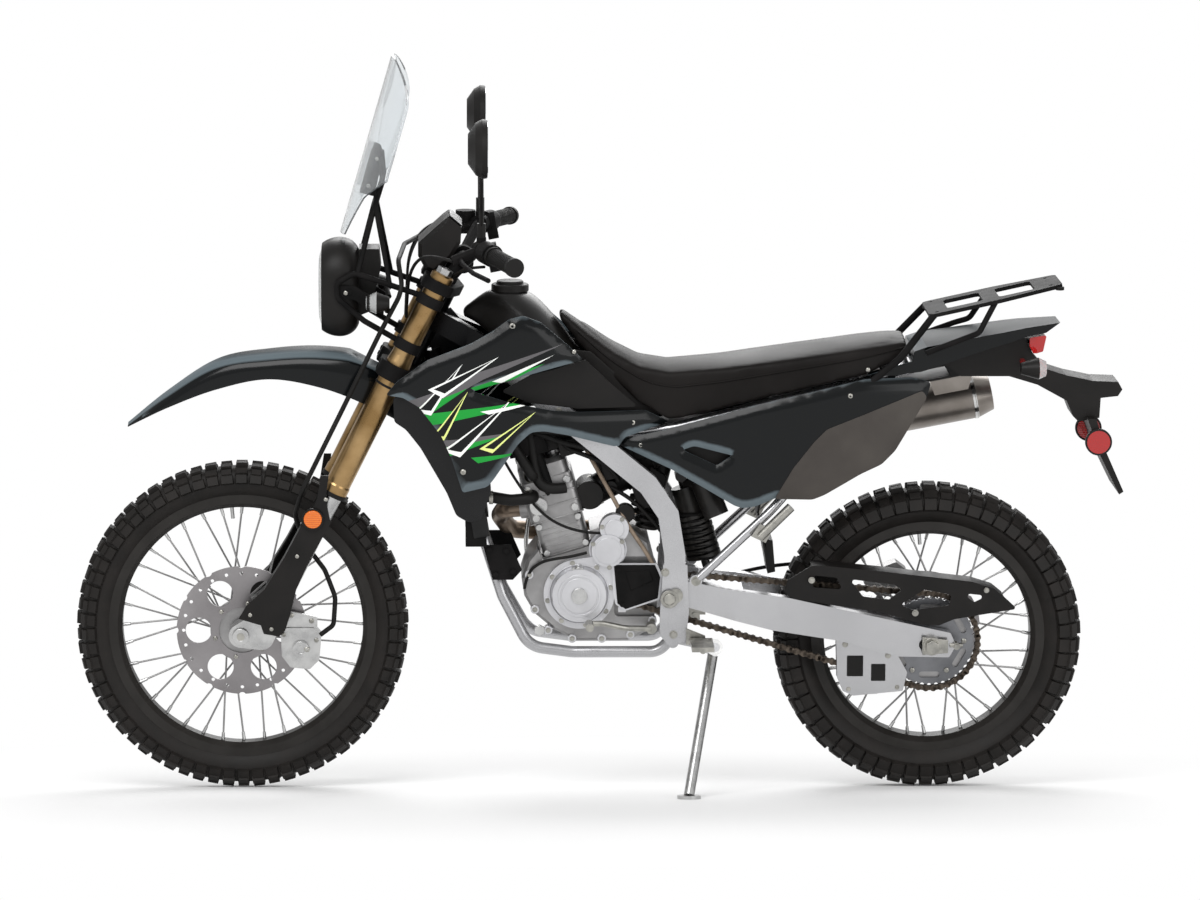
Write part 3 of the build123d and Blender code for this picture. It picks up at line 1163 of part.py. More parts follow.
# ---- parking: every piece is leaned over onto the stand, and the box centred on the origin ---
LEANED = Location((0, 0, 0), (LEAN, 0, 0))
for piece in PIECES.values():
    piece.part.move(LEANED)
BOX = Compound([piece.part for piece in PIECES.values()]).bounding_box()
CENTRED = Location((-BOX.center().X, -BOX.center().Y, -BOX.min.Z))
for name, piece in PIECES.items():
    piece.part.move(CENTRED)
    piece.part.label = name
    export_step(piece.part, f"parts/{name}.step")
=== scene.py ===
import bpy
import bmesh
import json
import math
from mathutils import Matrix, Vector, geometry


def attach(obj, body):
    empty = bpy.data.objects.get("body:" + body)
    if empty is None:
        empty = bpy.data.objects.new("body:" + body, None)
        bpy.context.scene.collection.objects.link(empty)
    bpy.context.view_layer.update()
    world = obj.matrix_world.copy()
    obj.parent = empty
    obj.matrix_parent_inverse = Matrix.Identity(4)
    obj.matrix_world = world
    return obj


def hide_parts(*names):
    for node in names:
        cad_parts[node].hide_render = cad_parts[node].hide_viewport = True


# The looks of a dual sport motorcycle that leans on its side stand.
# Shapes are drawn on the upright machine in millimetres, as (x, out, z): x runs back from the
# front axle, "out" is to the left of the middle plane and z is the height above the tyres' foot.

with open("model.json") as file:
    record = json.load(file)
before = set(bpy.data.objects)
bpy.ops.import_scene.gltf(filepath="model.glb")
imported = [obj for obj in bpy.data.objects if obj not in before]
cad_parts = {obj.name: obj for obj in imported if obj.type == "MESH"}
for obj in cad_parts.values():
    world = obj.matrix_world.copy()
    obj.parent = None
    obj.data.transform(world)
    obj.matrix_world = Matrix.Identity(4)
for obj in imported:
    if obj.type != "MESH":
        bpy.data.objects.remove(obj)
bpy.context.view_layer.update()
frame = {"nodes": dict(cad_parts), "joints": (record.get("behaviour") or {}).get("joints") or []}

# ---- the parked machine's place, from the rear wheel's own joint ---------------------------
WHEELBASE = 1440
REAR_RADIUS = 327
FRONT_RADIUS = 350
JOINTS = {joint["name"]: joint for joint in frame["joints"]}
REAR_TURN = JOINTS["rear_wheel_turn"]
LEAN = math.atan2(REAR_TURN["axis"][2], REAR_TURN["axis"][1])
LEANED = Matrix.Rotation(LEAN, 4, "X") @ Matrix.Scale(0.001, 4)
PARKED = Matrix.Translation(
    Vector(REAR_TURN["pos_m"]) - LEANED @ Vector((WHEELBASE, 0, REAR_RADIUS))) @ LEANED
SIDES = (1, -1)                 # left and right, as signs of "out"
NODES = frame["nodes"]


def at(x, out, z):
    """The point at that distance back, out and up on the upright machine, for a mesh."""
    return Vector((x, -out, z))


# ---- finishes ------------------------------------------------------------------------------
def tone(red, green, blue):
    """A paint colour from its 0 to 255 values on a screen."""
    return tuple((value / 255) ** 2.2 for value in (red, green, blue)) + (1.0,)


def new_finish(name):
    """A new material, its node tree and its shader."""
    material = bpy.data.materials.new(name)
    material.use_nodes = True
    return material, material.node_tree, material.node_tree.nodes["Principled BSDF"]


def machine_coords(tree):
    """Coordinates in metres on the upright machine: x back, y to the right, z up."""
    place = tree.nodes.new("ShaderNodeTexCoord")
    turn = tree.nodes.new("ShaderNodeMapping")
    turn.vector_type = "TEXTURE"
    turn.inputs["Location"].default_value = PARKED.to_translation()
    turn.inputs["Rotation"].default_value = (LEAN, 0, 0)
    tree.links.new(place.outputs["Object"], turn.inputs["Vector"])
    return turn.outputs["Vector"]


def noise(tree, coords, size, detail=4.0, stretch=(1, 1, 1)):
    """A cloudy pattern whose blotches are about that many millimetres across."""
    texture = tree.nodes.new("ShaderNodeTexNoise")
    texture.inputs["Scale"].default_value = 1000 / size
    texture.inputs["Detail"].default_value = detail
    if stretch != (1, 1, 1):
        mapping = tree.nodes.new("ShaderNodeMapping")
        mapping.inputs["Scale"].default_value = stretch
        tree.links.new(coords, mapping.inputs["Vector"])
        coords = mapping.outputs["Vector"]
    tree.links.new(coords, texture.inputs["Vector"])
    return texture.outputs["Fac"]


def split(tree, vector):
    """A vector's values, as sockets under X, Y and Z."""
    axes = tree.nodes.new("ShaderNodeSeparateXYZ")
    tree.links.new(vector, axes.inputs["Vector"])
    return axes.outputs


def clouded(tree, cloud, dark, light):
    """A colour that drifts between two with a cloudy pattern."""
    return mixed(tree, spread(tree, cloud, 0.35, 0.65, 0.0, 1.0), dark, light)


def spread(tree, value, low, high, low_to, high_to):
    """A value moved from one span to another, and held inside it."""
    step = tree.nodes.new("ShaderNodeMapRange")
    tree.links.new(value, step.inputs["Value"])
    for socket, number in (("From Min", low), ("From Max", high), ("To Min", low_to), ("To Max", high_to)):
        step.inputs[socket].default_value = number
    return step.outputs["Result"]


def maths(tree, operation, first, second=0.0, third=0.0):
    """A sum of two or three values, each a socket or a number."""
    node = tree.nodes.new("ShaderNodeMath")
    node.operation = operation
    for place, value in enumerate((first, second, third)):
        if isinstance(value, (int, float)):
            node.inputs[place].default_value = value
        else:
            tree.links.new(value, node.inputs[place])
    return node.outputs["Value"]


def mixed(tree, share, first, second):
    """The colour between two, each a socket or a colour, at a share from 0 to 1."""
    node = tree.nodes.new("ShaderNodeMix")
    node.data_type = "RGBA"
    tree.links.new(share, node.inputs["Factor"])
    for name, value in (("A", first), ("B", second)):
        socket = [entry for entry in node.inputs if entry.name == name and entry.type == "RGBA"][0]
        if isinstance(value, tuple):
            socket.default_value = value
        else:
            tree.links.new(value, socket)
    return [entry for entry in node.outputs if entry.type == "RGBA"][0]


def roughen(tree, shader, height, depth, strength=1.0):
    """Bump from a height pattern that is that many millimetres deep."""
    bump = tree.nodes.new("ShaderNodeBump")
    bump.inputs["Distance"].default_value = depth / 1000
    bump.inputs["Strength"].default_value = strength
    tree.links.new(height, bump.inputs["Height"])
    tree.links.new(bump.outputs["Normal"], shader.inputs["Normal"])


def set_shader(shader, **values):
    """Constants on the shader's sockets; a socket's name has _ for each space."""
    for name, value in values.items():
        shader.inputs[name.replace("_", " ")].default_value = value


def finish(name, dark, light, blotch=60, rough=(0.3, 0.45), grain=0.6, depth=0.05, metal=0.0,
           coat=0.0, stretch=(1, 1, 1), shine=0.5):
    """A finish with cloudy colour, worn gloss and a fine grain of its own size in millimetres."""
    material, tree, shader = new_finish(name)
    coords = machine_coords(tree)
    cloud = noise(tree, coords, blotch, 5.0)
    fine = noise(tree, coords, grain, 3.0, stretch)
    tree.links.new(clouded(tree, cloud, tone(*dark), tone(*light)), shader.inputs["Base Color"])
    worn = maths(tree, "MULTIPLY_ADD", fine, 0.5, maths(tree, "MULTIPLY", cloud, 0.5))
    tree.links.new(spread(tree, worn, 0.35, 0.65, *rough), shader.inputs["Roughness"])
    set_shader(shader, Metallic=metal, Coat_Weight=coat, Coat_Roughness=0.06, Specular_IOR_Level=shine)
    roughen(tree, shader, fine, depth)
    return material


BLACK_GLOSS = finish("black_gloss_moulding", (17, 17, 18), (25, 25, 26), 150, (0.2, 0.3), 2.0,
                     0.008, shine=0.28)
BLACK_PLASTIC = finish("black_moulded_plastic", (21, 20, 19), (29, 27, 26), 90, (0.4, 0.54), 0.8,
                       0.08, shine=0.22)
PANEL_PLASTIC = finish("number_panel_plastic", (60, 56, 53), (70, 66, 62), 120, (0.42, 0.55), 0.7,
                       0.06, shine=0.25)
TANK_PLASTIC = finish("tank_plastic", (20, 19, 18), (28, 27, 26), 140, (0.3, 0.42), 1.2, 0.03,
                      shine=0.28)
SEAT_VINYL = finish("seat_vinyl", (23, 21, 20), (31, 29, 28), 160, (0.42, 0.54), 1.6, 0.16,
                    shine=0.1)
GOLD = finish("gold_anodised", (140, 112, 74), (176, 146, 104), 70, (0.26, 0.36), 0.5, 0.01,
              metal=1.0, stretch=(1, 1, 0.1))
POLISHED_ALLOY = finish("polished_alloy", (176, 176, 178), (194, 194, 196), 320, (0.2, 0.3), 0.7, 0.012,
                        metal=0.92)
COVER_ALUMINIUM = finish("cover_aluminium", (188, 188, 191), (204, 204, 207), 90, (0.3, 0.42), 0.8,
                         0.05, metal=0.75)
# painted shade: a darker copy of the covers' aluminium, for the crankcase and cylinder behind the covers;
# the hubs and the rear brake share it
SHADED_CAST_ALUMINIUM = finish("shaded_cast_aluminium", (138, 137, 137), (162, 161, 161), 60, (0.34, 0.46), 1.1,
                        0.10, metal=0.85)


HEAD_REAR = (0.540, 0.544)      # metres back between which the painted shade round the steering head ends
HEAD_FOOT = (0.700, 0.704)      # metres up between which it starts


def frame_paint():
    """Silver paint on the frame's spars and tubes, with black painted shade round the steering head."""
    material, tree, shader = new_finish("frame_paint")
    coords = machine_coords(tree)
    axes = split(tree, coords)
    cloud = noise(tree, coords, 260, 4.0)
    fine = noise(tree, coords, 0.7, 3.0)
    silver = clouded(tree, cloud, tone(168, 168, 170), tone(186, 186, 188))
    # painted shade: black round the steering head, ahead of HEAD_REAR and above HEAD_FOOT
    front = spread(tree, axes["X"], *HEAD_REAR, 1.0, 0.0)
    high = spread(tree, axes["Z"], *HEAD_FOOT, 0.0, 1.0)
    head = maths(tree, "MULTIPLY", front, high)
    tree.links.new(mixed(tree, head, silver, tone(24, 24, 25)), shader.inputs["Base Color"])
    tree.links.new(spread(tree, fine, 0.35, 0.65, 0.24, 0.34), shader.inputs["Roughness"])
    shader.inputs["Metallic"].default_value = 0.8
    roughen(tree, shader, fine, 0.015)
    return material


SILVER_FRAME = frame_paint()
MACHINED = finish("machined_aluminium", (170, 170, 170), (196, 196, 195), 30, (0.22, 0.34), 0.4,
                  0.02, metal=1.0)
BLACK_METAL = finish("black_powder_coat", (24, 24, 24), (33, 32, 32), 60, (0.5, 0.62), 0.9, 0.04,
                     shine=0.05)
ZINC_STEEL = finish("zinc_plated_steel", (142, 141, 136), (176, 174, 167), 18, (0.28, 0.42), 0.6,
                    0.02, metal=1.0)
BRIGHT_STEEL = finish("bright_steel", (190, 190, 190), (210, 210, 208), 40, (0.1, 0.2), 0.5,
                      0.008, metal=1.0)
DISC_STEEL = finish("brake_disc_steel", (128, 125, 126), (150, 147, 148), 140, (0.26, 0.4), 0.9,
                    0.03, metal=1.0)
EXHAUST_STEEL = finish("heated_exhaust_steel", (96, 82, 70), (142, 128, 114), 60, (0.28, 0.44),
                       0.9, 0.03, metal=1.0)


CAN_RISE = 0.194                # the can's rise for each metre back
CAN_TOP = (0.566, 0.567)        # metres above its sloping line between which the bracket starts


def muffler_paint():
    """Brushed steel on the muffler's can, black on the bracket above it."""
    material, tree, shader = new_finish("muffler_steel")
    coords = machine_coords(tree)
    axes = split(tree, coords)
    cloud = noise(tree, coords, 90, 4.0)
    fine = noise(tree, coords, 0.7, 3.0, (0.1, 1, 1))
    steel = clouded(tree, cloud, tone(122, 116, 110), tone(148, 142, 136))
    above = maths(tree, "MULTIPLY_ADD", axes["X"], -CAN_RISE, axes["Z"])
    bracket = spread(tree, above, *CAN_TOP, 0.0, 1.0)
    tree.links.new(mixed(tree, bracket, steel, tone(22, 22, 22)), shader.inputs["Base Color"])
    tree.links.new(spread(tree, fine, 0.35, 0.65, 0.3, 0.42), shader.inputs["Roughness"])
    tree.links.new(maths(tree, "SUBTRACT", 0.9, maths(tree, "MULTIPLY", bracket, 0.9)),
                   shader.inputs["Metallic"])
    shader.inputs["Specular IOR Level"].default_value = 0.2
    roughen(tree, shader, fine, 0.03)
    return material


MUFFLER_STEEL = muffler_paint()
RIM_BLACK = finish("black_anodised_rim", (34, 32, 30), (42, 40, 38), 60, (0.3, 0.42), 0.6,
                   0.01, shine=0.25)
CHAIN_STEEL = finish("oiled_chain_steel", (58, 52, 47), (104, 95, 86), 14, (0.3, 0.5), 1.2, 0.05,
                     metal=0.9)
SPROCKET_GREY = finish("hard_anodised_sprocket", (100, 101, 104), (126, 127, 130), 90, (0.3, 0.44),
                       0.6, 0.03, metal=0.9)
RUBBER = finish("black_rubber", (18, 17, 16), (26, 25, 24), 40, (0.5, 0.64), 0.8, 0.06, shine=0.22)
HOSE_TAN = finish("braided_tan_hose", (110, 96, 82), (136, 120, 104), 24, (0.5, 0.62), 0.8, 0.05)
RADIATOR_BLACK = finish("radiator_paint", (20, 20, 20), (28, 28, 28), 30, (0.4, 0.5), 0.8, 0.03,
                        shine=0.25)
SPRING_PAINT = finish("spring_paint", (30, 29, 28), (42, 40, 38), 30, (0.3, 0.4), 0.8, 0.02, shine=0.3)
MIRROR_GLASS = finish("mirror_glass", (226, 228, 230), (232, 234, 236), 200, (0.02, 0.04), 4.0,
                      0.0005, metal=1.0)


def lens(name, dark, light, clear, rough=0.06, ribs=4.0):
    """A moulded lens: coloured, partly clear and finely ribbed inside."""
    material, tree, shader = new_finish(name)
    coords = machine_coords(tree)
    axes = split(tree, coords)
    wave = maths(tree, "SINE", maths(tree, "MULTIPLY", axes["Y"], 2000 * math.pi / ribs))
    step = maths(tree, "SINE", maths(tree, "MULTIPLY", axes["Z"], 2000 * math.pi / ribs))
    height = maths(tree, "MULTIPLY", wave, step)
    share = spread(tree, height, -1.0, 1.0, 0.0, 1.0)
    tree.links.new(mixed(tree, share, tone(*dark), tone(*light)), shader.inputs["Base Color"])
    set_shader(shader, Roughness=rough, Transmission_Weight=clear, IOR=1.49, Coat_Weight=0.6)
    roughen(tree, shader, height, 0.25)
    return material


CLEAR_LENS = lens("clear_lens", (222, 224, 224), (246, 247, 247), 0.6)
RED_LENS = lens("red_lens", (128, 8, 10), (196, 22, 20), 0.15)
AMBER_LENS = lens("amber_lens", (206, 84, 10), (246, 132, 26), 0.15)
SCREEN = lens("clear_screen", (232, 236, 238), (240, 243, 245), 0.93, 0.03, ribs=400.0)

NODE_FINISHES = {
    SILVER_FRAME: ("frame",),
    POLISHED_ALLOY: ("subframe", "swingarm", "chain_guide"),
    SHADED_CAST_ALUMINIUM: ("crankcase", "front_hub", "rear_hub", "rear_brake", "cylinder"),
    COVER_ALUMINIUM: ("engine_covers",),
    MACHINED: ("fork_sliders", "front_caliper", "side_stand"),
    RADIATOR_BLACK: ("radiators",),
    BLACK_PLASTIC: ("throttle_body", "chain_guard", "fuel_cap", "air_scoops", "tank_panels",
                    "rear_fender", "fork_guards", "headlight", "mirrors", "instruments",
                    "front_indicators"),
    RUBBER: ("coolant_hoses", "grips", "brake_hose"),
    EXHAUST_STEEL: ("exhaust_header",),
    MUFFLER_STEEL: ("muffler",),
    ZINC_STEEL: ("rear_axles", "front_axle", "foot_controls"),
    SPRING_PAINT: ("shock",),
    CHAIN_STEEL: ("drive_chain",),
    TANK_PLASTIC: ("fuel_tank",),
    SEAT_VINYL: ("seat",),
    RED_LENS: ("rear_lights",),
    BLACK_METAL: ("luggage_rack", "triple_clamps", "fairing_bracket", "handlebar",
                  "hand_controls"),
    GOLD: ("fork_sleeves",),
    CLEAR_LENS: ("headlight_lens",),
    SCREEN: ("windshield",),
    RIM_BLACK: ("front_rim", "rear_rim"),
    DISC_STEEL: ("front_disc", "rear_disc"),
    SPROCKET_GREY: ("rear_sprocket",),
}


def dress(node, *materials):
    """Gives a CAD node its finish."""
    data = NODES[node].data
    data.materials.clear()
    for material in materials:
        data.materials.append(material)


for material, names in NODE_FINISHES.items():
    for name in names:
        dress(name, material)
TYRE_RUBBER = finish("tyre_rubber", (24, 22, 20), (34, 31, 29), 50, (0.5, 0.64), 1.4, 0.12,
                     shine=0.25)
dress("front_tyre", TYRE_RUBBER)
dress("rear_tyre", TYRE_RUBBER)

# ---- making meshes ---------------------------------------------------------------------------
def new_shape():
    """An empty mesh to add forms to, in millimetres on the upright machine."""
    return bmesh.new()


def linked(name, data):
    """An object for some data, in the scene."""
    item = bpy.data.objects.new(name, data)
    bpy.context.scene.collection.objects.link(item)
    return item


def baked(holder):
    """The mesh that an object's modifiers or curve come to; the object itself goes."""
    bpy.context.view_layer.update()
    mesh = bpy.data.meshes.new_from_object(holder.evaluated_get(bpy.context.evaluated_depsgraph_get()))
    bpy.data.objects.remove(holder)
    return mesh


def shade_smooth(mesh):
    """Every face shaded smooth."""
    mesh.polygons.foreach_set("use_smooth", [True] * len(mesh.polygons))


def merged(name, meshes, angle):
    """Several meshes as one, sharp at an edge angle."""
    form = bmesh.new()
    for mesh in meshes:
        form.from_mesh(mesh)
    mesh = bpy.data.meshes.new(name)
    form.to_mesh(mesh)
    form.free()
    mesh.set_sharp_from_angle(angle=math.radians(angle))
    return mesh


def bridge(shape, first, second):
    """Faces between two loops of the same number of points."""
    for index in range(len(first)):
        follow = (index + 1) % len(first)
        shape.faces.new((first[index], first[follow], second[follow], second[index]))


def add_rod(shape, start, end, radius, sides=16, tip=None):
    """A round rod, or a cone where the tip has its own radius; its ends are closed."""
    start, end = Vector(start), Vector(end)
    run = end - start
    turn = run.to_track_quat("Z", "Y").to_matrix().to_4x4()
    place = Matrix.Translation((start + end) / 2) @ turn
    bmesh.ops.create_cone(shape, cap_ends=True, segments=sides, radius1=radius,
                          radius2=radius if tip is None else tip, depth=run.length, matrix=place)


def add_pin(shape, x, z, near, far, radius, sides=16, tip=None):
    """A rod straight out from the middle plane, between two distances out."""
    add_rod(shape, at(x, near, z), at(x, far, z), radius, sides, tip)


def add_ring(shape, centre, axis, profile, steps=64):
    """A solid of revolution: profile points are (along the axis, radius), as a closed loop."""
    turn = Vector(axis).to_track_quat("Z", "Y").to_matrix()
    rows = []
    for step in range(steps):
        angle = 2 * math.pi * step / steps
        ray = Vector((math.cos(angle), math.sin(angle), 0))
        rows.append([shape.verts.new(Vector(centre) + turn @ (ray * radius + Vector((0, 0, along))))
                     for along, radius in profile])
    count = len(profile)
    for step in range(steps):
        low, high = rows[step], rows[(step + 1) % steps]
        for index in range(count):
            follow = (index + 1) % count
            shape.faces.new((low[index], high[index], high[follow], low[follow]))


def add_box(shape, centre, size, turn=None):
    """A block about its centre, turned by a rotation matrix."""
    place = Matrix.Translation(Vector(centre))
    if turn is not None:
        place = place @ turn.to_4x4()
    bmesh.ops.create_cube(shape, size=1.0, matrix=place @ Matrix.Diagonal((*size, 1)))


def add_plate(shape, outline, inner, outer):
    """A plate with a side outline of (x, z) points, between two distances out."""
    near = [shape.verts.new(at(x, outer, z)) for x, z in outline]
    far = [shape.verts.new(at(x, inner, z)) for x, z in outline]
    shape.faces.new(near)
    shape.faces.new(list(reversed(far)))
    for index in range(len(outline)):
        follow = (index + 1) % len(outline)
        shape.faces.new((near[index], far[index], far[follow], near[follow]))


def add_mirrored(shape):
    """The same forms again on the other side of the middle plane."""
    copied = bmesh.ops.duplicate(shape, geom=shape.verts[:] + shape.edges[:] + shape.faces[:])
    moved = [item for item in copied["geom"] if isinstance(item, bmesh.types.BMVert)]
    faces = [item for item in copied["geom"] if isinstance(item, bmesh.types.BMFace)]
    for vert in moved:
        vert.co.y = -vert.co.y
    bmesh.ops.reverse_faces(shape, faces=faces)


def as_mesh(shape, name, smooth=35.0):
    """The forms as a mesh with clean outward faces, shaded smooth up to an edge angle."""
    bmesh.ops.recalc_face_normals(shape, faces=shape.faces[:])
    mesh = bpy.data.meshes.new(name)
    shape.to_mesh(mesh)
    shape.free()
    shade_smooth(mesh)
    mesh.set_sharp_from_angle(angle=math.radians(smooth))
    return mesh


def put(name, mesh, body, material, replaced=(), bevel=0.0):
    """Parks a mesh as a piece of the object, on its body and with its finish."""
    mesh.transform(PARKED)
    piece = linked(name, mesh)
    mesh.materials.append(material)
    if bevel:
        edge = piece.modifiers.new("edge", "BEVEL")
        edge.width = bevel / 1000
        edge.segments = 2
        edge.angle_limit = math.radians(40)
    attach(piece, body)
    if replaced:
        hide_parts(*replaced)


def finished(name, shape, body, material, bevel=0.0, mirrored=False, smooth=35.0, replaced=()):
    """A shape made a piece, with its twin on the other side where it has one."""
    if mirrored:
        add_mirrored(shape)
    put(name, as_mesh(shape, name, smooth), body, material, replaced, bevel)


def wire(name, points, radius, body, material, sides=8):
    """A smooth round cable or hose through (x, out, z) points."""
    path = bpy.data.curves.new(name, "CURVE")
    path.dimensions = "3D"
    path.bevel_depth = radius
    path.bevel_resolution = sides // 4
    path.use_fill_caps = True
    line = path.splines.new("NURBS")
    line.points.add(len(points) - 1)
    for knot, point in zip(line.points, points):
        knot.co = (*at(*point), 1)
    line.order_u = 3
    line.use_endpoint_u = True
    line.resolution_u = 8
    mesh = baked(linked(name + "_path", path))
    shade_smooth(mesh)
    put(name, mesh, body, material)


def repeat_tree():
    """Geometry nodes that set one shape on every point, turned and sized by the point."""
    tree = bpy.data.node_groups.new("repeat_shape", "GeometryNodeTree")
    for name, kind in (("Geometry", "Geometry"), ("Shape", "Object"), ("Material", "Material")):
        tree.interface.new_socket(name, in_out="INPUT", socket_type="NodeSocket" + kind)
    tree.interface.new_socket("Geometry", in_out="OUTPUT", socket_type="NodeSocketGeometry")
    source = tree.nodes.new("NodeGroupInput")
    result = tree.nodes.new("NodeGroupOutput")
    shape = tree.nodes.new("GeometryNodeObjectInfo")
    spread_out = tree.nodes.new("GeometryNodeInstanceOnPoints")
    stored = {}
    for name, kind in (("turn", "FLOAT_VECTOR"), ("size", "FLOAT")):
        node = tree.nodes.new("GeometryNodeInputNamedAttribute")
        node.data_type = kind
        node.inputs["Name"].default_value = name
        stored[name] = node.outputs["Attribute"]
    whole = tree.nodes.new("GeometryNodeRealizeInstances")
    paint = tree.nodes.new("GeometryNodeSetMaterial")
    link = tree.links.new
    link(source.outputs["Geometry"], spread_out.inputs["Points"])
    link(source.outputs["Shape"], shape.inputs["Object"])
    link(shape.outputs["Geometry"], spread_out.inputs["Instance"])
    link(stored["turn"], spread_out.inputs["Rotation"])
    link(stored["size"], spread_out.inputs["Scale"])
    link(spread_out.outputs["Instances"], whole.inputs["Geometry"])
    link(whole.outputs["Geometry"], paint.inputs["Geometry"])
    link(source.outputs["Material"], paint.inputs["Material"])
    link(paint.outputs["Geometry"], result.inputs["Geometry"])
    return tree


REPEAT_TREE = repeat_tree()
REPEAT_INPUTS = {item.name: item.identifier for item in REPEAT_TREE.interface.items_tree
                 if item.in_out == "INPUT"}


def repeated(name, shape, places, material, smooth=35.0):
    """One mesh of a shape set at places, each a point, a rotation matrix and a size."""
    seed = linked(name + "_shape", as_mesh(shape, name + "_shape", smooth))
    points = bpy.data.meshes.new(name + "_places")
    points.from_pydata([tuple(point) for point, _, _ in places], [], [])
    turns = points.attributes.new("turn", "FLOAT_VECTOR", "POINT")
    turns.data.foreach_set("vector", [value for _, turn, _ in places for value in turn.to_euler()])
    sizes = points.attributes.new("size", "FLOAT", "POINT")
    sizes.data.foreach_set("value", [size for _, _, size in places])
    holder = linked(name + "_holder", points)
    modifier = holder.modifiers.new("repeat", "NODES")
    modifier.node_group = REPEAT_TREE
    modifier[REPEAT_INPUTS["Shape"]] = seed
    modifier[REPEAT_INPUTS["Material"]] = material
    mesh = baked(holder)
    mesh.materials.clear()
    bpy.data.objects.remove(seed)
    return mesh


def facing(direction):
    """The rotation that turns a shape's +Z towards a direction."""
    return Vector(direction).to_track_quat("Z", "Y").to_matrix()


# ---- tyres -----------------------------------------------------------------------------------
def tyre_section(radius, half_width, rim_radius, rim_half, lug):
    """A tyre's closed section as (out, radius) points, its tread floor a lug's depth down."""
    floor = radius - lug
    height = floor - rim_radius
    outside = [
        (rim_half - 1, rim_radius - 2), (rim_half + 3, rim_radius + 3),
        (half_width * 0.84, rim_radius + height * 0.22), (half_width * 0.93, rim_radius + height * 0.45),
        (half_width * 0.92, rim_radius + height * 0.68), (half_width * 0.80, rim_radius + height * 0.86),
        (half_width * 0.55, rim_radius + height * 0.965), (half_width * 0.28, floor - 0.5), (0, floor),
    ]
    left = outside[:-1]
    right = [(-out, r) for out, r in reversed(left)]
    return left + [(0, floor)] + right + [(-(rim_half - 5), rim_radius - 1), (rim_half - 5, rim_radius - 1)]


def add_lug(shape, angle, out, radius, lean, width, length, depth, taper=0.8):
    """A tread block that stands on the tyre: lean tips it towards its side."""
    out_turn = Matrix.Rotation(angle, 3, "Y")
    tip = Matrix.Rotation(lean, 3, "X")
    corners = []
    for level, scale in ((-4.0, 1.05), (depth, taper)):
        for along, across in ((-1, -1), (1, -1), (1, 1), (-1, 1)):
            local = Vector((along * length / 2 * scale, across * width / 2 * scale, level))
            corners.append(shape.verts.new(out_turn @ (tip @ local + Vector((0, -out, radius)))))
    shape.faces.new(corners[:4])
    shape.faces.new(corners[4:])
    bridge(shape, corners[:4], corners[4:])


def knobbly_tyre(name, axle, section, rows, pitches, body):
    """A tyre with its tread blocks repeated round it."""
    shape = new_shape()
    add_ring(shape, (axle[0], 0, axle[1]), (0, -1, 0), section, 144)
    carcass = as_mesh(shape, name, 40)
    unit = new_shape()
    for row in rows:
        add_lug(unit, *row)
    places = [(Vector((axle[0], 0, axle[1])), Matrix.Rotation(2 * math.pi * step / pitches, 3, "Y"), 1.0)
              for step in range(pitches)]
    lugs = repeated(name + "_lugs", unit, places, TYRE_RUBBER, 20)
    put(name, merged(name, (carcass, lugs), 38), body, TYRE_RUBBER, (body.replace("wheel", "tyre"),))


FRONT_LUGS = (                  # share of a pitch, out, radius, lean, width, length, depth, taper
    (0.00, 9, 337, 0.06, 15, 25, 10.5, 0.9), (0.50, 20, 334.2, 0.28, 15, 24, 10.5, 0.9),
    (0.00, 30, 326.5, 0.72, 15, 27, 10.5, 0.9), (0.50, 31, 325.5, 0.80, 14, 22, 9.5, 0.9),
    (0.00, 36, 315, 1.24, 20, 25, 6.5, 0.88), (0.50, 36, 315, 1.24, 20, 27, 6.5, 0.88))
REAR_LUGS = (
    (0.00, 13, 311.5, 0.05, 22, 28, 12.5, 0.9), (0.50, 29, 308.3, 0.26, 18, 28, 12.5, 0.9),
    (0.00, 41, 299.5, 0.72, 20, 30, 12.0, 0.9), (0.50, 42.5, 298.5, 0.80, 17, 25, 11.0, 0.9),
    (0.00, 49.5, 285, 1.26, 26, 28, 7.0, 0.88), (0.50, 49.5, 285, 1.26, 26, 30, 7.0, 0.88))
FRONT_PITCHES, REAR_PITCHES = 33, 29


def lug_rows(lugs, pitches):
    """The rows of tread blocks of one pitch, on both sides."""
    step = math.radians(360 / pitches)
    return [(share * step, sign * out, radius, lean * sign, *size)
            for sign in SIDES for share, out, radius, lean, *size in lugs]


def build_tyres():
    """Both tyres: tall centre blocks, angled middle blocks and two rings of shoulder blocks."""
    knobbly_tyre("front_knobbly_tyre", (0, FRONT_RADIUS), tyre_section(FRONT_RADIUS, 40, 280, 25, 12.5),
                 lug_rows(FRONT_LUGS, FRONT_PITCHES), FRONT_PITCHES, "front_wheel")
    rows = lug_rows(REAR_LUGS, REAR_PITCHES)
    rows.append((0.50 * math.radians(360 / REAR_PITCHES), 0, 312.3, 0.0, 20, 22, 11.5, 0.9))
    knobbly_tyre("rear_knobbly_tyre", (WHEELBASE, REAR_RADIUS),
                 tyre_section(REAR_RADIUS, 54.5, 246, 33, 14), rows, REAR_PITCHES, "rear_wheel")


# ---- chain -----------------------------------------------------------------------------------
CHAIN_OUT = 74
CHAIN_PITCH = 15.875
DRIVE = (831.0, 441.0, 14)      # x, z and teeth of the small sprocket
DRIVEN = (WHEELBASE, REAR_RADIUS, 40)


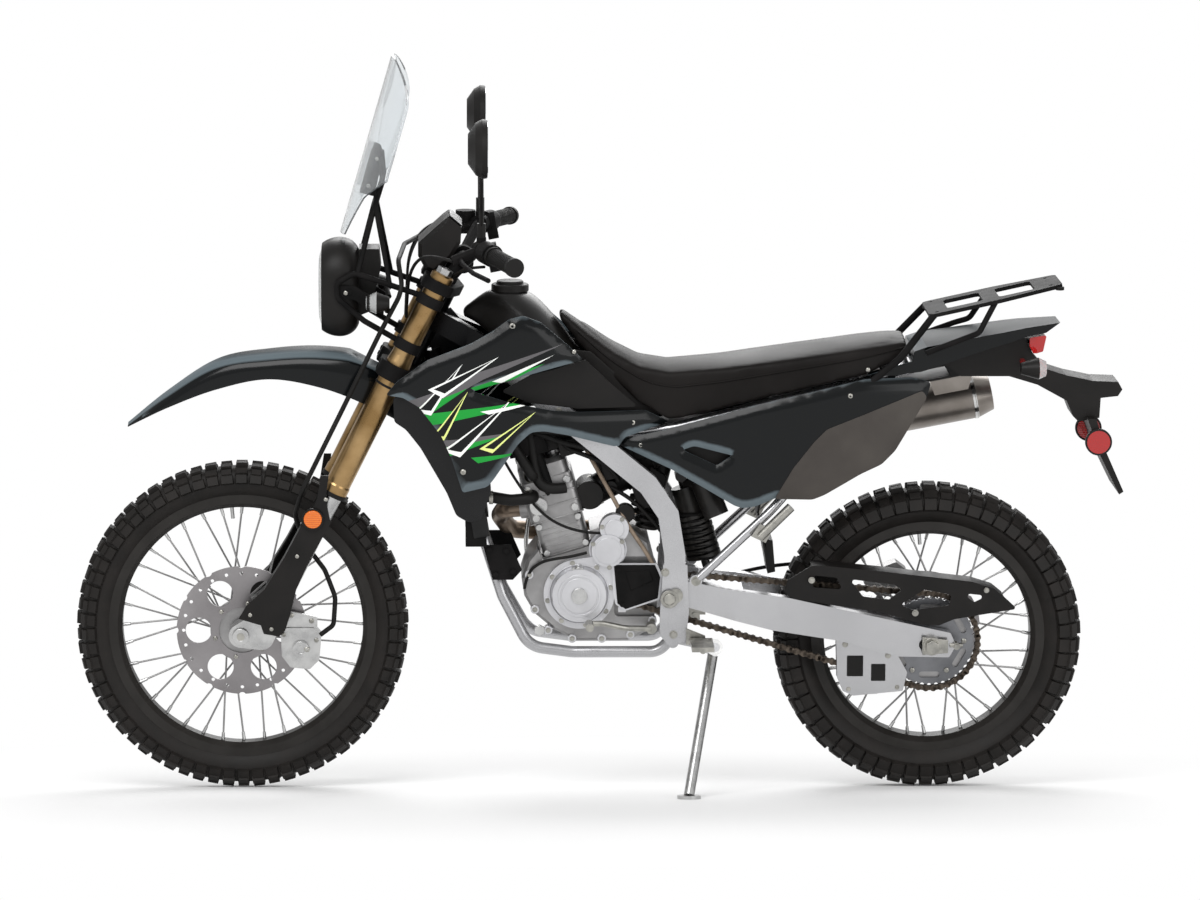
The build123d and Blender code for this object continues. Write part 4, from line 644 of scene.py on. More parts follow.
def chain_places():
    """The pins' places round both sprockets, as (x, z) points an equal pitch apart."""
    small = CHAIN_PITCH / 2 / math.sin(math.pi / DRIVE[2])
    large = CHAIN_PITCH / 2 / math.sin(math.pi / DRIVEN[2])
    span = Vector((DRIVEN[0] - DRIVE[0], DRIVEN[1] - DRIVE[1]))
    slope = math.atan2(span.y, span.x)
    open_angle = math.asin((large - small) / span.length)
    straight = math.sqrt(span.length ** 2 - (large - small) ** 2)
    around_small = (math.pi - 2 * open_angle) * small
    around_large = (math.pi + 2 * open_angle) * large
    total = 2 * straight + around_small + around_large
    count = round(total / CHAIN_PITCH / 2) * 2
    up = slope + math.pi / 2 + open_angle

    down = slope - math.pi / 2 - open_angle

    def on(wheel, radius, angle):
        return Vector(wheel[:2]) + radius * Vector((math.cos(angle), math.sin(angle)))

    def spot(length):
        if length < straight:
            return on(DRIVE, small, up).lerp(on(DRIVEN, large, up), length / straight)
        length -= straight
        if length < around_large:
            return on(DRIVEN, large, up - length / large)
        length -= around_large
        if length < straight:
            return on(DRIVEN, large, down).lerp(on(DRIVE, small, down), length / straight)
        return on(DRIVE, small, down - (length - straight) / small)

    return [spot(total * index / count) for index in range(count)]


def add_link(shape, reach):
    """A link along x about its middle: two waisted plates and the pins or rollers between."""
    for side in SIDES:
        for end in SIDES:
            add_rod(shape, (end * CHAIN_PITCH / 2, side * reach - side * 0.9, 0),
                    (end * CHAIN_PITCH / 2, side * reach + side * 0.9, 0), 6.9, 12)
        add_box(shape, (0, side * reach, 0), (CHAIN_PITCH, 1.8, 9.4))
    for end in SIDES:
        add_rod(shape, (end * CHAIN_PITCH / 2, -reach, 0), (end * CHAIN_PITCH / 2, reach, 0), 4.6, 10)


def build_chain():
    """Inner and outer links by turns, pin to pin."""
    pins = chain_places()
    links = []
    for kind, reach in ((0, 3.6), (1, 6.0)):
        unit = new_shape()
        add_link(unit, reach)
        places = []
        for index in range(kind, len(pins), 2):
            start, end = pins[index], pins[(index + 1) % len(pins)]
            run = end - start
            middle = (start + end) / 2
            places.append((at(middle.x, CHAIN_OUT, middle.y),
                           Matrix.Rotation(-math.atan2(run.y, run.x), 3, "Y"), 1.0))
        links.append(repeated(f"chain_links_{kind}", unit, places, CHAIN_STEEL, 30))
    put("roller_chain", merged("chain", links, 30), "chassis", CHAIN_STEEL, ("drive_chain",))


# ---- fasteners -------------------------------------------------------------------------------
def hex_head():
    """A flanged hexagon head of radius 1, standing on its face along +z."""
    shape = new_shape()
    add_rod(shape, (0, 0, -0.3), (0, 0, 0.16), 1.25, 16)
    add_rod(shape, (0, 0, 0.1), (0, 0, 0.75), 1.0, 6, 0.94)
    return shape


def button_head():
    """A domed head with a hexagon socket, of radius 1."""
    shape = new_shape()
    profile = [(-0.3, 1.0), (0.08, 1.0), (0.34, 0.86), (0.5, 0.6), (0.52, 0.42), (0.16, 0.40), (0.16, 0.02),
               (-0.3, 0.02)]
    add_ring(shape, (0, 0, 0), (0, 0, 1), profile, 18)
    return shape


def bolts(name, kind, rows, body, material):
    """Fasteners in one mesh; a row is x, out, z, radius and the way its head faces."""
    places = [(at(x, out, z), facing(way), radius) for x, out, z, radius, way in rows]
    mesh = repeated(name, kind(), places, material, 30)
    put(name, mesh, body, material)


LEFT, RIGHT = (0, -1, 0), (0, 1, 0)


def both(rows):
    """Rows on the left with their twins on the right."""
    return [(x, side * out, z, radius, LEFT if side > 0 else RIGHT)
            for x, out, z, radius in rows for side in SIDES]


def ring_of(centre, circle, count, out, radius, way, start=0.0):
    """Rows of fasteners on a circle about (x, z)."""
    return [(centre[0] + circle * math.cos(start + 2 * math.pi * step / count), out,
             centre[1] + circle * math.sin(start + 2 * math.pi * step / count), radius, way)
            for step in range(count)]


# ---- painted bodywork ------------------------------------------------------------------------
LEVEL_TOP_SHEEN = tone(40, 45, 48)   # painted sheen: a dim grey for paint that lies level, under the brightest light


def painted(name, dark, highlight_grey, slashes=(), start=0.34, rims=True):
    """Glossy dark paint with painted highlights: grey where it faces up, a dim grey where it lies level;
    slashes of other colours over it.

    start is how far up a surface faces where the painted highlight begins, and rims puts the painted
    highlight on the rims below too.
    """
    material, tree, shader = new_finish(name)
    coords = machine_coords(tree)
    cloud = noise(tree, coords, 220, 4.0)
    fine = noise(tree, coords, 0.5, 2.0)
    surface = tree.nodes.new("ShaderNodeNewGeometry")
    axes = split(tree, surface.outputs["Normal"])
    facing_up = axes["Z"]
    if rims:
        facing_up = maths(tree, "ABSOLUTE", facing_up)
    # painted highlight: grey where the surface slopes up, and with rims also where it faces down
    highlight_mask = spread(tree, facing_up, start, start + 0.14, 0.0, 1.0)
    # painted sheen: a dimmer grey where the surface lies level
    level = spread(tree, axes["Z"], 0.86, 0.98, 0.0, 1.0)
    colour = mixed(tree, level, mixed(tree, highlight_mask, dark, highlight_grey), LEVEL_TOP_SHEEN)
    for x, z, slope, length, width, shade in slashes:
        colour = mixed(tree, slash(tree, coords, x, z, slope, length, width), colour, shade)
    tree.links.new(colour, shader.inputs["Base Color"])
    worn = maths(tree, "MULTIPLY_ADD", fine, 0.4, maths(tree, "MULTIPLY", cloud, 0.6))
    gloss = spread(tree, worn, 0.35, 0.65, 0.12, 0.2)
    tree.links.new(maths(tree, "MULTIPLY_ADD", highlight_mask, 0.3, gloss), shader.inputs["Roughness"])
    shine = spread(tree, axes["Z"], 0.4, 0.95, 0.24, 0.04)
    tree.links.new(shine, shader.inputs["Specular IOR Level"])
    roughen(tree, shader, fine, 0.006)
    return material


def slash(tree, coords, x, z, slope, length, width):
    """A slanted stroke of paint, pointed at its rear end: 1 inside it and 0 outside."""
    place = tree.nodes.new("ShaderNodeMapping")
    place.vector_type = "TEXTURE"
    place.inputs["Location"].default_value = (x / 1000, 0, z / 1000)
    place.inputs["Rotation"].default_value = (0, -math.radians(slope), 0)
    place.inputs["Scale"].default_value = (length / 2000, 1, width / 2000)
    tree.links.new(coords, place.inputs["Vector"])
    axes = split(tree, place.outputs["Vector"])
    across = maths(tree, "ABSOLUTE", axes["Z"])
    lean = maths(tree, "MULTIPLY_ADD", axes["Z"], 0.12, axes["X"])
    along = maths(tree, "LESS_THAN", maths(tree, "ABSOLUTE", lean), 1.0)
    taper = maths(tree, "MULTIPLY_ADD", lean, -0.5, 0.5)
    return maths(tree, "MULTIPLY", along, maths(tree, "LESS_THAN", across, taper))


GREEN, WHITE = tone(30, 146, 56), tone(238, 240, 236)
PALE_YELLOW, SLATE = tone(222, 232, 140), tone(94, 92, 94)
# the grey below is the colour of the painted highlight on the bodywork
DEEP_BLACK, PAINTED_HIGHLIGHT_GREY = tone(17, 19, 20), tone(92, 102, 107)
SLASHES = (                     # x, z, slope, length, width and colour
    (430, 872, 24, 260, 44, SLATE), (560, 930, 20, 230, 22, SLATE), (470, 768, 12, 190, 40, SLATE),
    (404, 846, 28, 150, 34, GREEN), (500, 834, 9, 300, 30, GREEN), (560, 902, 22, 150, 24, GREEN),
    (470, 760, 16, 150, 26, GREEN), (540, 738, 8, 110, 14, GREEN),
    (420, 880, 52, 132, 30, WHITE), (419, 880, 52, 112, 19, DEEP_BLACK),
    (470, 908, 30, 150, 30, WHITE), (469, 908, 30, 130, 19, DEEP_BLACK),
    (440, 824, 58, 120, 26, PALE_YELLOW), (439, 823, 58, 102, 16, DEEP_BLACK),
    (500, 800, 42, 170, 34, WHITE), (499, 800, 42, 148, 22, DEEP_BLACK),
    (560, 790, 38, 130, 24, PALE_YELLOW), (559, 789, 38, 110, 14, DEEP_BLACK),
    (590, 920, 25, 130, 12, WHITE), (575, 842, 10, 140, 9, WHITE),
)
# the bodywork's paints, each with the painted highlight in grey on its upward faces
BODY_PAINT = painted("body_paint", DEEP_BLACK, PAINTED_HIGHLIGHT_GREY)
TAIL_PAINT = painted("tail_paint", DEEP_BLACK, PAINTED_HIGHLIGHT_GREY, rims=False)
SHROUD_PAINT = painted("shroud_paint", DEEP_BLACK, PAINTED_HIGHLIGHT_GREY, SLASHES)
FENDER_PAINT = painted("fender_paint", DEEP_BLACK, PAINTED_HIGHLIGHT_GREY, start=0.5, rims=False)


dress("tail_cowl", TAIL_PAINT)
dress("front_fender", FENDER_PAINT)
dress("shrouds", SHROUD_PAINT)
dress("side_covers", BODY_PAINT)


def rounded(outline, cut):
    """An outline of (x, z) points with its corners rounded off."""
    points = []
    for index, corner in enumerate(outline):
        before, corner, after = (Vector(outline[(index + step) % len(outline)]) for step in (-1, 0, 1))
        start = corner + (before - corner).normalized() * min(cut, (before - corner).length * 0.45)
        end = corner + (after - corner).normalized() * min(cut, (after - corner).length * 0.45)
        for share in (0, 0.25, 0.5, 0.75, 1):
            points.append(start.lerp(corner, share).lerp(corner.lerp(end, share), share))
    return points


def divided(outline, spacing):
    """The outline's points and more between them, about a spacing apart."""
    points = []
    for index, start in enumerate(outline):
        end = outline[(index + 1) % len(outline)]
        count = max(1, round((end - start).length / spacing))
        points += [start.lerp(end, step / count) for step in range(count)]
    return points


def gap_to(point, loops):
    """The distance from a point to the nearest of the outlines, negative outside the panel."""
    nearest, inside = 1e9, False
    for loop in loops:
        for index, end in enumerate(loop):
            start = loop[index - 1]
            run = end - start
            share = max(0.0, min(1.0, (point - start).dot(run) / max(run.length_squared, 1e-9)))
            nearest = min(nearest, (point - start - run * share).length_squared)
            if (start.y > point.y) != (end.y > point.y):
                inside ^= point.x < start.x + run.x * (point.y - start.y) / run.y
    return math.sqrt(nearest) if inside else -math.sqrt(nearest)


def add_panel(shape, outline, dome, thick=3.0, roll=22.0, deep=8.0, grid=10.0, holes=()):
    """A moulded panel on a dome (x, out, z, radius) with its rims rolled inwards."""
    corners = [rounded(loop, 7) for loop in (outline, *holes)]
    loops = [divided(loop, grid) for loop in corners]
    flat, rims = [], []
    for loop in loops:
        first = len(flat)
        flat += loop
        rims += [(first + index, first + (index + 1) % len(loop)) for index in range(len(loop))]
    low_x, high_x = min(p.x for p in flat), max(p.x for p in flat)
    low_z, high_z = min(p.y for p in flat), max(p.y for p in flat)
    depths = [0.0] * len(flat)
    for row in range(int((high_z - low_z) / (grid * 0.87)) + 1):
        for column in range(int((high_x - low_x) / grid) + 1):
            point = Vector((low_x + (column + 0.5 * (row % 2)) * grid, low_z + row * grid * 0.87))
            depth = gap_to(point, corners)
            if depth > grid * 0.55:
                flat.append(point)
                depths.append(depth)
    found = geometry.delaunay_2d_cdt(flat, rims, [], 0, 1e-5)
    flat_out, faces, sources = found[0], found[2], found[3]
    tops, feet = [], []
    for point, origin in zip(flat_out, sources):
        inward = 1 - min(depths[origin[0]] / roll, 1.0)
        out = dome[1] + math.sqrt(dome[3] ** 2 - (point.x - dome[0]) ** 2 - (point.y - dome[2]) ** 2)
        out -= deep * inward * inward
        tops.append(shape.verts.new(at(point.x, out, point.y)))
        feet.append(shape.verts.new(at(point.x, out - thick, point.y)))
    uses = {}
    for face in faces:
        middle = sum((flat_out[index] for index in face), Vector((0, 0))) / len(face)
        if gap_to(middle, loops) < 0:
            continue
        shape.faces.new([tops[index] for index in face])
        shape.faces.new([feet[index] for index in reversed(face)])
        for index, start in enumerate(face):
            end = face[(index + 1) % len(face)]
            uses[(start, end)] = uses.get((start, end), 0) + 1
    for start, end in uses:
        if (end, start) not in uses:
            shape.faces.new((tops[end], tops[start], feet[start], feet[end]))
    bmesh.ops.delete(shape, geom=[vert for vert in shape.verts if not vert.link_faces], context="VERTS")


SHROUD_OUTLINE = (
    (303, 866), (326, 894), (389, 939), (479, 973), (524, 998), (556, 1021), (584, 1028), (621, 1014),
    (678, 965), (709, 934), (647, 919), (535, 890), (481, 874), (551, 851), (646, 830), (700, 826),
    (838, 824), (889, 797), (796, 768), (783, 748), (678, 778), (628, 788), (602, 786), (576, 763),
    (525, 688), (512, 672), (461, 660), (438, 733), (417, 781), (372, 841), (338, 861))
SHROUD_DOME = (400, -1210, 850, 1400)
COVER_TOP = ((798, 764), (893, 788), (1064, 838), (1293, 891), (1392, 893), (1432, 881))
COVER_LEFT = COVER_TOP + (
    (1423, 852), (1357, 742), (1329, 714), (1285, 694), (1211, 651), (1186, 641), (1109, 643),
    (1068, 625), (1042, 621), (1025, 626), (957, 666), (893, 702), (787, 750))
COVER_RIGHT = COVER_TOP + (
    (1424, 864), (1250, 816), (1130, 774), (1060, 704), (957, 672), (893, 702), (787, 750))
COVER_DOME = (1120, -1550, 760, 1700)
COVER_HOLE = ((916, 743), (940, 752), (1019, 733), (987, 711))
NUMBER_PANEL = (
    (1107, 643), (1145, 708), (1188, 763), (1214, 789), (1413, 866), (1423, 852), (1357, 742),
    (1329, 714), (1285, 694), (1211, 651), (1186, 641))
SCOOP_OUTLINE = (
    (318, 856), (320, 806), (344, 790), (374, 752), (404, 700), (428, 658), (448, 609), (474, 594),
    (500, 600), (520, 660), (512, 760), (470, 850), (380, 872))


def build_panels():
    """The shrouds, the side covers with their number panel, and the scoops."""
    shape = new_shape()
    add_panel(shape, SHROUD_OUTLINE, SHROUD_DOME)
    finished("moulded_shrouds", shape, "chassis", SHROUD_PAINT, mirrored=True,
             replaced=("shrouds",))
    shape = new_shape()
    add_panel(shape, COVER_RIGHT, COVER_DOME, holes=(COVER_HOLE,))
    for vert in shape.verts:
        vert.co.y = -vert.co.y
    add_panel(shape, COVER_LEFT, COVER_DOME, holes=(COVER_HOLE,))
    finished("moulded_covers", shape, "chassis", BODY_PAINT, replaced=("side_covers",))
    x, out, z, radius = COVER_DOME
    shape = new_shape()
    add_panel(shape, NUMBER_PANEL, (x, out + 3.4, z, radius), 3.0, 9, 2.0)
    finished("number_panel", shape, "chassis", PANEL_PLASTIC)
    shape = new_shape()
    add_panel(shape, SCOOP_OUTLINE, (400, 158 - 3000, 750, 3000), roll=24, deep=2.5)
    finished("moulded_scoops", shape, "chassis", BLACK_GLOSS, mirrored=True,
             replaced=("air_scoops",))


def softened(name, node, voxel, rounds, material):
    """A CAD solid again with soft edges, as an object: remeshed finely, in millimetres, and smoothed."""
    holder = linked(name + "_form", NODES[node].data.copy())
    weld = holder.modifiers.new("weld", "WELD")
    weld.merge_threshold = 0.00001
    remesh = holder.modifiers.new("remesh", "REMESH")
    remesh.mode = "VOXEL"
    remesh.voxel_size = voxel / 1000
    smooth = holder.modifiers.new("smooth", "SMOOTH")
    smooth.factor = 0.5
    smooth.iterations = rounds
    mesh = baked(holder)
    mesh.materials.clear()
    mesh.materials.append(material)
    shade_smooth(mesh)
    return linked(name, mesh)


def build_tank():
    """The fuel tank with soft edges."""
    piece = softened("smooth_tank", "fuel_tank", 6, 14, TANK_PLASTIC)
    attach(piece, "chassis")
    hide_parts("fuel_tank")


SEAT_SINK, SEAT_SWELL = 0.003, 0.0012   # metres that the pad starts in by and may end out by
SWELL_FRAMES = 20
PIPING = 0.30                   # how far down the seat's side the piping runs, as a share
SEAT_PLACES = (                 # x, half width, top, underside, crown
    (662, 34, 1025, 1004, 4), (712, 62, 991, 942, 12), (768, 84, 953, 888, 14), (828, 100, 922, 834, 14),
    (890, 112, 911, 800, 12), (1000, 120, 920, 826, 12), (1116, 126, 936, 856, 12),
    (1290, 118, 961, 894, 12), (1384, 96, 972, 934, 10))


def seat_at(x):
    """The seat's half width, top, underside and crown at a place along it."""
    for low, high in zip(SEAT_PLACES, SEAT_PLACES[1:]):
        if low[0] <= x <= high[0]:
            share = (x - low[0]) / (high[0] - low[0])
            return [a + (b - a) * share for a, b in zip(low[1:], high[1:])]
    return list(SEAT_PLACES[-1][1:])


def build_seat():
    """The padded seat, swelled under its cover, with piping along both sides."""
    piece = softened("padded_seat", "seat", 6, 10, SEAT_VINYL)
    mesh = piece.data
    start = [vert.co.copy() for vert in mesh.vertices]
    for vert in mesh.vertices:
        vert.co -= vert.normal * SEAT_SINK
    cloth = piece.modifiers.new("cloth", "CLOTH")
    cloth.settings.use_pressure = True
    cloth.settings.uniform_pressure_force = 4
    cloth.settings.effector_weights.gravity = 0
    cloth.settings.quality = 6
    cloth.point_cache.frame_start = 1
    cloth.point_cache.frame_end = SWELL_FRAMES
    for step in range(1, SWELL_FRAMES + 1):
        bpy.context.scene.frame_set(step)
    swelled = piece.evaluated_get(bpy.context.evaluated_depsgraph_get()).to_mesh()
    places = [vert.co.copy() for vert in swelled.vertices]
    piece.modifiers.remove(cloth)
    bpy.context.scene.frame_set(1)
    for vert, origin, place in zip(mesh.vertices, start, places):
        move = place - origin
        if move.length > SEAT_SWELL:
            move *= SEAT_SWELL / move.length
        vert.co = origin + move
    soft = piece.modifiers.new("soft", "SUBSURF")
    soft.levels = 1
    soft.render_levels = 1
    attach(piece, "chassis")
    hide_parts("seat")
    for side, name in ((1, "left"), (-1, "right")):
        line = []
        for x in range(700, 1381, 34):
            half, top, low, crown = seat_at(x)
            line.append((x, side * (half * (0.9 + 0.1 * PIPING) + 0.4),
                         (top - crown) * (1 - PIPING) + low * PIPING))
        wire("seat_piping_" + name, line, 1.6, "chassis", SEAT_VINYL)


# ---- details ---------------------------------------------------------------------------------
def surface_out(dome, x, z):
    """How far out a domed panel lies at a place."""
    return dome[1] + math.sqrt(dome[3] ** 2 - (x - dome[0]) ** 2 - (z - dome[2]) ** 2)


FORK_FOOT = (35.8, 332.2)       # x and z where the line of the fork legs starts
FORK_BACK, FORK_RISE = 0.446, 0.895     # its slope, as a run back and a rise for each millimetre
CYLINDER_FOOT = (680, 516)      # x and z of the cylinder's foot
CYLINDER_BACK, CYLINDER_RISE = 0.287, 0.958
FORK_UP = Vector((FORK_BACK, 0, FORK_RISE))
ENGINE_TURN = Matrix.Rotation(-math.radians(16.7), 3, "Y")


def fork(back, out, up):
    """A mesh point by its distances behind, out from and up the line of the fork legs."""
    return at(FORK_FOOT[0] + FORK_RISE * back + FORK_BACK * up, out,
              FORK_FOOT[1] - FORK_BACK * back + FORK_RISE * up)


def engine(along, out, up):
    """A mesh point by its distances along and up the leaning cylinder."""
    return at(CYLINDER_FOOT[0] + CYLINDER_RISE * along - CYLINDER_BACK * up, out,
              CYLINDER_FOOT[1] + CYLINDER_BACK * along + CYLINDER_RISE * up)


def add_band(shape, centre, axis, inner, outer, width, steps=48):
    """A flat ring of a width along its axis."""
    add_ring(shape, centre, axis, [(-width / 2, inner), (width / 2, inner), (width / 2, outer),
                                   (-width / 2, outer)], steps)


def add_oval(shape, centre, run, wide, tall, tip_wide, tip_tall, steps=32):
    """A closed oval cone along x: half sizes at its start and at its tip."""
    ends = []
    for shift, half_wide, half_tall in ((0, wide, tall), (run, tip_wide, tip_tall)):
        ends.append([shape.verts.new(Vector(centre) + Vector((
            shift, half_wide * math.cos(2 * math.pi * step / steps),
            half_tall * math.sin(2 * math.pi * step / steps)))) for step in range(steps)])
    shape.faces.new(ends[0])
    shape.faces.new(list(reversed(ends[1])))
    bridge(shape, *ends)


FLYWHEEL = (704, 431)
STARTER_GEAR = (764, 524)


def build_engine_details():
    """Cover rims, plugs, ribs, brackets and hose clips of the engine."""
    shape = new_shape()
    centre = at(FLYWHEEL[0], 110.6, FLYWHEEL[1])
    add_band(shape, centre, LEFT, 40, 45, 2.4)
    add_band(shape, centre, LEFT, 0.5, 37, 1.2)
    add_band(shape, at(FLYWHEEL[0], 91, FLYWHEEL[1]), LEFT, 61, 64, 3)
    add_band(shape, at(STARTER_GEAR[0], 100, STARTER_GEAR[1]), LEFT, 0.5, 28, 2)
    add_band(shape, at(STARTER_GEAR[0], 79, STARTER_GEAR[1]), LEFT, 36, 40, 5)
    add_pin(shape, 777, 570, 70, 97, 21, 32, 20)
    for turn in range(0, 360, 45):
        angle = math.radians(turn + 12)
        x, z = FLYWHEEL[0] + 67 * math.cos(angle), FLYWHEEL[1] + 67 * math.sin(angle)
        add_pin(shape, x, z, 74, 91.5, 7.5, 16)
    for x, z in ((600, 470), (612, 396), (640, 352), (690, 334), (752, 334), (812, 342), (858, 372)):
        add_pin(shape, x, z, 60, 82, 9, 16)
    finished("engine_cover_rims", shape, "chassis", COVER_ALUMINIUM, 0.8)
    shape = new_shape()
    add_pin(shape, FLYWHEEL[0], FLYWHEEL[1], 108, 116.5, 17, 32)
    add_rod(shape, at(FLYWHEEL[0], 88, FLYWHEEL[1] + 54), at(FLYWHEEL[0], 109, FLYWHEEL[1] + 50), 11, 24)
    add_pin(shape, 622, 352, 78, 86, 12, 6)
    for along in (-42, 42):
        for up in (8, 66):
            add_rod(shape, engine(along, 50, up), engine(along, 66, up), 7, 12)
        for up in (88, 150):
            add_rod(shape, engine(along, 60, up), engine(along, 75, up), 8, 12)
    for sign in SIDES:
        add_rod(shape, engine(sign * 30, 0, 198), engine(sign * 30, 0, 208), 22, 24)
    add_rod(shape, engine(-30, 66, 112), engine(-30, 82, 112), 19, 24)
    finished("engine_plugs", shape, "chassis", MACHINED, 0.8)
    shape = new_shape()
    for up, wide, deep, thick in ((76, 116, 142, 2.2), (162, 108, 132, 2.2), (1, 108, 124, 1.6)):
        add_box(shape, engine(0, 0, up), (wide, deep, thick), ENGINE_TURN)
    for up in (20, 32, 44, 56):
        for side in SIDES:
            add_box(shape, engine(0, side * 60, up), (82, 3.4, 2.4), ENGINE_TURN)
    for up in (104, 128, 142):
        for side in SIDES:
            add_box(shape, engine(16, side * 70, up), (74, 4, 3), ENGINE_TURN)
    finished("cylinder_ribs", shape, "chassis", SHADED_CAST_ALUMINIUM, 0.6)
    shape = new_shape()
    mount = [(503, 534), (562, 534), (585, 481), (566, 460), (524, 460)]
    add_plate(shape, mount, 80, 85)
    add_plate(shape, [(560, 716), (604, 724), (596, 762), (552, 752)], 60, 84)
    add_plate(shape, [(852, 700), (884, 680), (878, 640), (846, 646)], 60, 92)
    add_mirrored(shape)
    add_plate(shape, [(776, 494), (862, 494), (873, 468), (868, 423), (801, 400), (784, 412)], 96.2, 98.6)
    add_plate(shape, [(800, 480), (850, 482), (858, 462), (812, 440)], 98, 101)
    add_rod(shape, engine(2, 72, 132), engine(-2, 70, 226), 11, 20)
    add_box(shape, engine(4, 62, 238), (40, 40, 40), ENGINE_TURN)
    for side in SIDES:
        add_box(shape, at(489, side * 108, 598), (44, 74, 112))
    finished("engine_brackets", shape, "chassis", BLACK_METAL, 1.5)
    shape = new_shape()
    for x, out, z, way in ((600, 84, 636, (1, 0.9, 0)), (600, 84, 680, (1, 0.9, 0)),
                           (520, 101, 638, (1, 0, 0)), (500, 101, 780, (1, 0, -0.5))):
        add_band(shape, at(x, out, z), way, 11.6, 14.0, 8, 32)
    add_band(shape, (740, 0, 636), (0.9, 0, 0.44), 30, 33, 8, 40)
    add_band(shape, (806, 0, 675), (0.8, 0, 0.6), 35.5, 38, 8, 40)
    finished("hose_clips", shape, "chassis", ZINC_STEEL)


CHASSIS_HOSES = (               # name, radius, finish, slot, sides and its (x, out, z) points
    ("head_hose", 11.5, RUBBER, "rubber", 16,
     ((596, 70, 800), (604, 74, 740), (612, 80, 684), (624, 86, 660), (652, 88, 652), (676, 84, 656))),
    ("upper_hose", 7.0, RUBBER, "rubber", 12,
     ((560, 96, 792), (620, 90, 776), (700, 84, 768), (770, 80, 752), (800, 76, 706))),
    ("fuel_hose", 5.0, RUBBER, "rubber", 8,
     ((640, 70, 800), (664, 84, 742), (720, 88, 724), (770, 84, 700), (786, 74, 668))),
    ("loom", 6.0, RUBBER, "rubber", 8,
     ((540, 60, 800), (640, 96, 758), (740, 98, 738), (820, 92, 690), (868, 88, 620))),
    ("breather_hose", 4.5, HOSE_TAN, "rubber", 8,
     ((690, 66, 786), (722, 68, 726), (750, 72, 676), (776, 76, 630), (808, 84, 570), (850, 92, 512),
      (870, 86, 470))),
    ("engine_wire", 3.2, RUBBER, "rubber", 8,
     ((720, 96, 520), (690, 97, 512), (655, 94, 507), (622, 88, 498), (596, 82, 474), (590, 78, 440))),
    ("plug_lead", 4.0, RUBBER, "rubber", 8,
     ((640, 78, 640), (622, 92, 668), (600, 88, 700), (585, 70, 730))),
    ("clutch_cable_foot", 3.0, RUBBER, "rubber", 8,
     ((420, 42, 900), (500, 92, 800), (600, 96, 620), (690, 94, 560), (760, 90, 560))),
    ("oil_line", 5.0, BRIGHT_STEEL, "steel", 8,
     ((640, -82, 380), (606, -94, 440), (590, -92, 520), (610, -78, 600))),
    ("carburettor_hose", 4.5, RUBBER, "rubber", 8,
     ((770, 64, 652), (800, 78, 640), (846, 84, 600), (880, 80, 556))),
    ("rear_brake_hose", 4.0, RUBBER, "rubber", 8,
     ((1340, -90, 430), (1250, -104, 460), (1120, -118, 452), (1000, -128, 420), (940, -128, 400))),
)
STEERING_CABLES = (             # the same, on the handlebar
    ("clutch_cable", 3.4, RUBBER, "rubber", 8,
     ((440, 225, 1150), (408, 214, 1158), (374, 160, 1150), (352, 96, 1110), (346, 52, 1050),
      (344, 26, 1006))),
    ("throttle_cable", 3.0, RUBBER, "rubber", 8,
     ((490, -262, 1160), (440, -250, 1166), (384, -190, 1170), (348, -100, 1120), (344, -52, 1050),
      (342, -32, 1004))),
    ("throttle_return", 3.0, RUBBER, "rubber", 8,
     ((490, -262, 1169), (440, -250, 1175), (384, -190, 1170), (348, -100, 1129), (344, -52, 1050),
      (342, -23, 1004))),
    ("switch_wire", 3.0, RUBBER, "rubber", 8,
     ((505, 236, 1140), (470, 180, 1130), (452, 120, 1112), (430, 70, 1090), (402, 50, 1060))),
)


def build_hoses():
    """Every hose, wire and cable, by the body that carries it."""
    for body, hoses in (("chassis", CHASSIS_HOSES), ("steering", STEERING_CABLES)):
        for name, radius, material, slot, sides, points in hoses:
            wire(name, points, radius, body, material, sides)


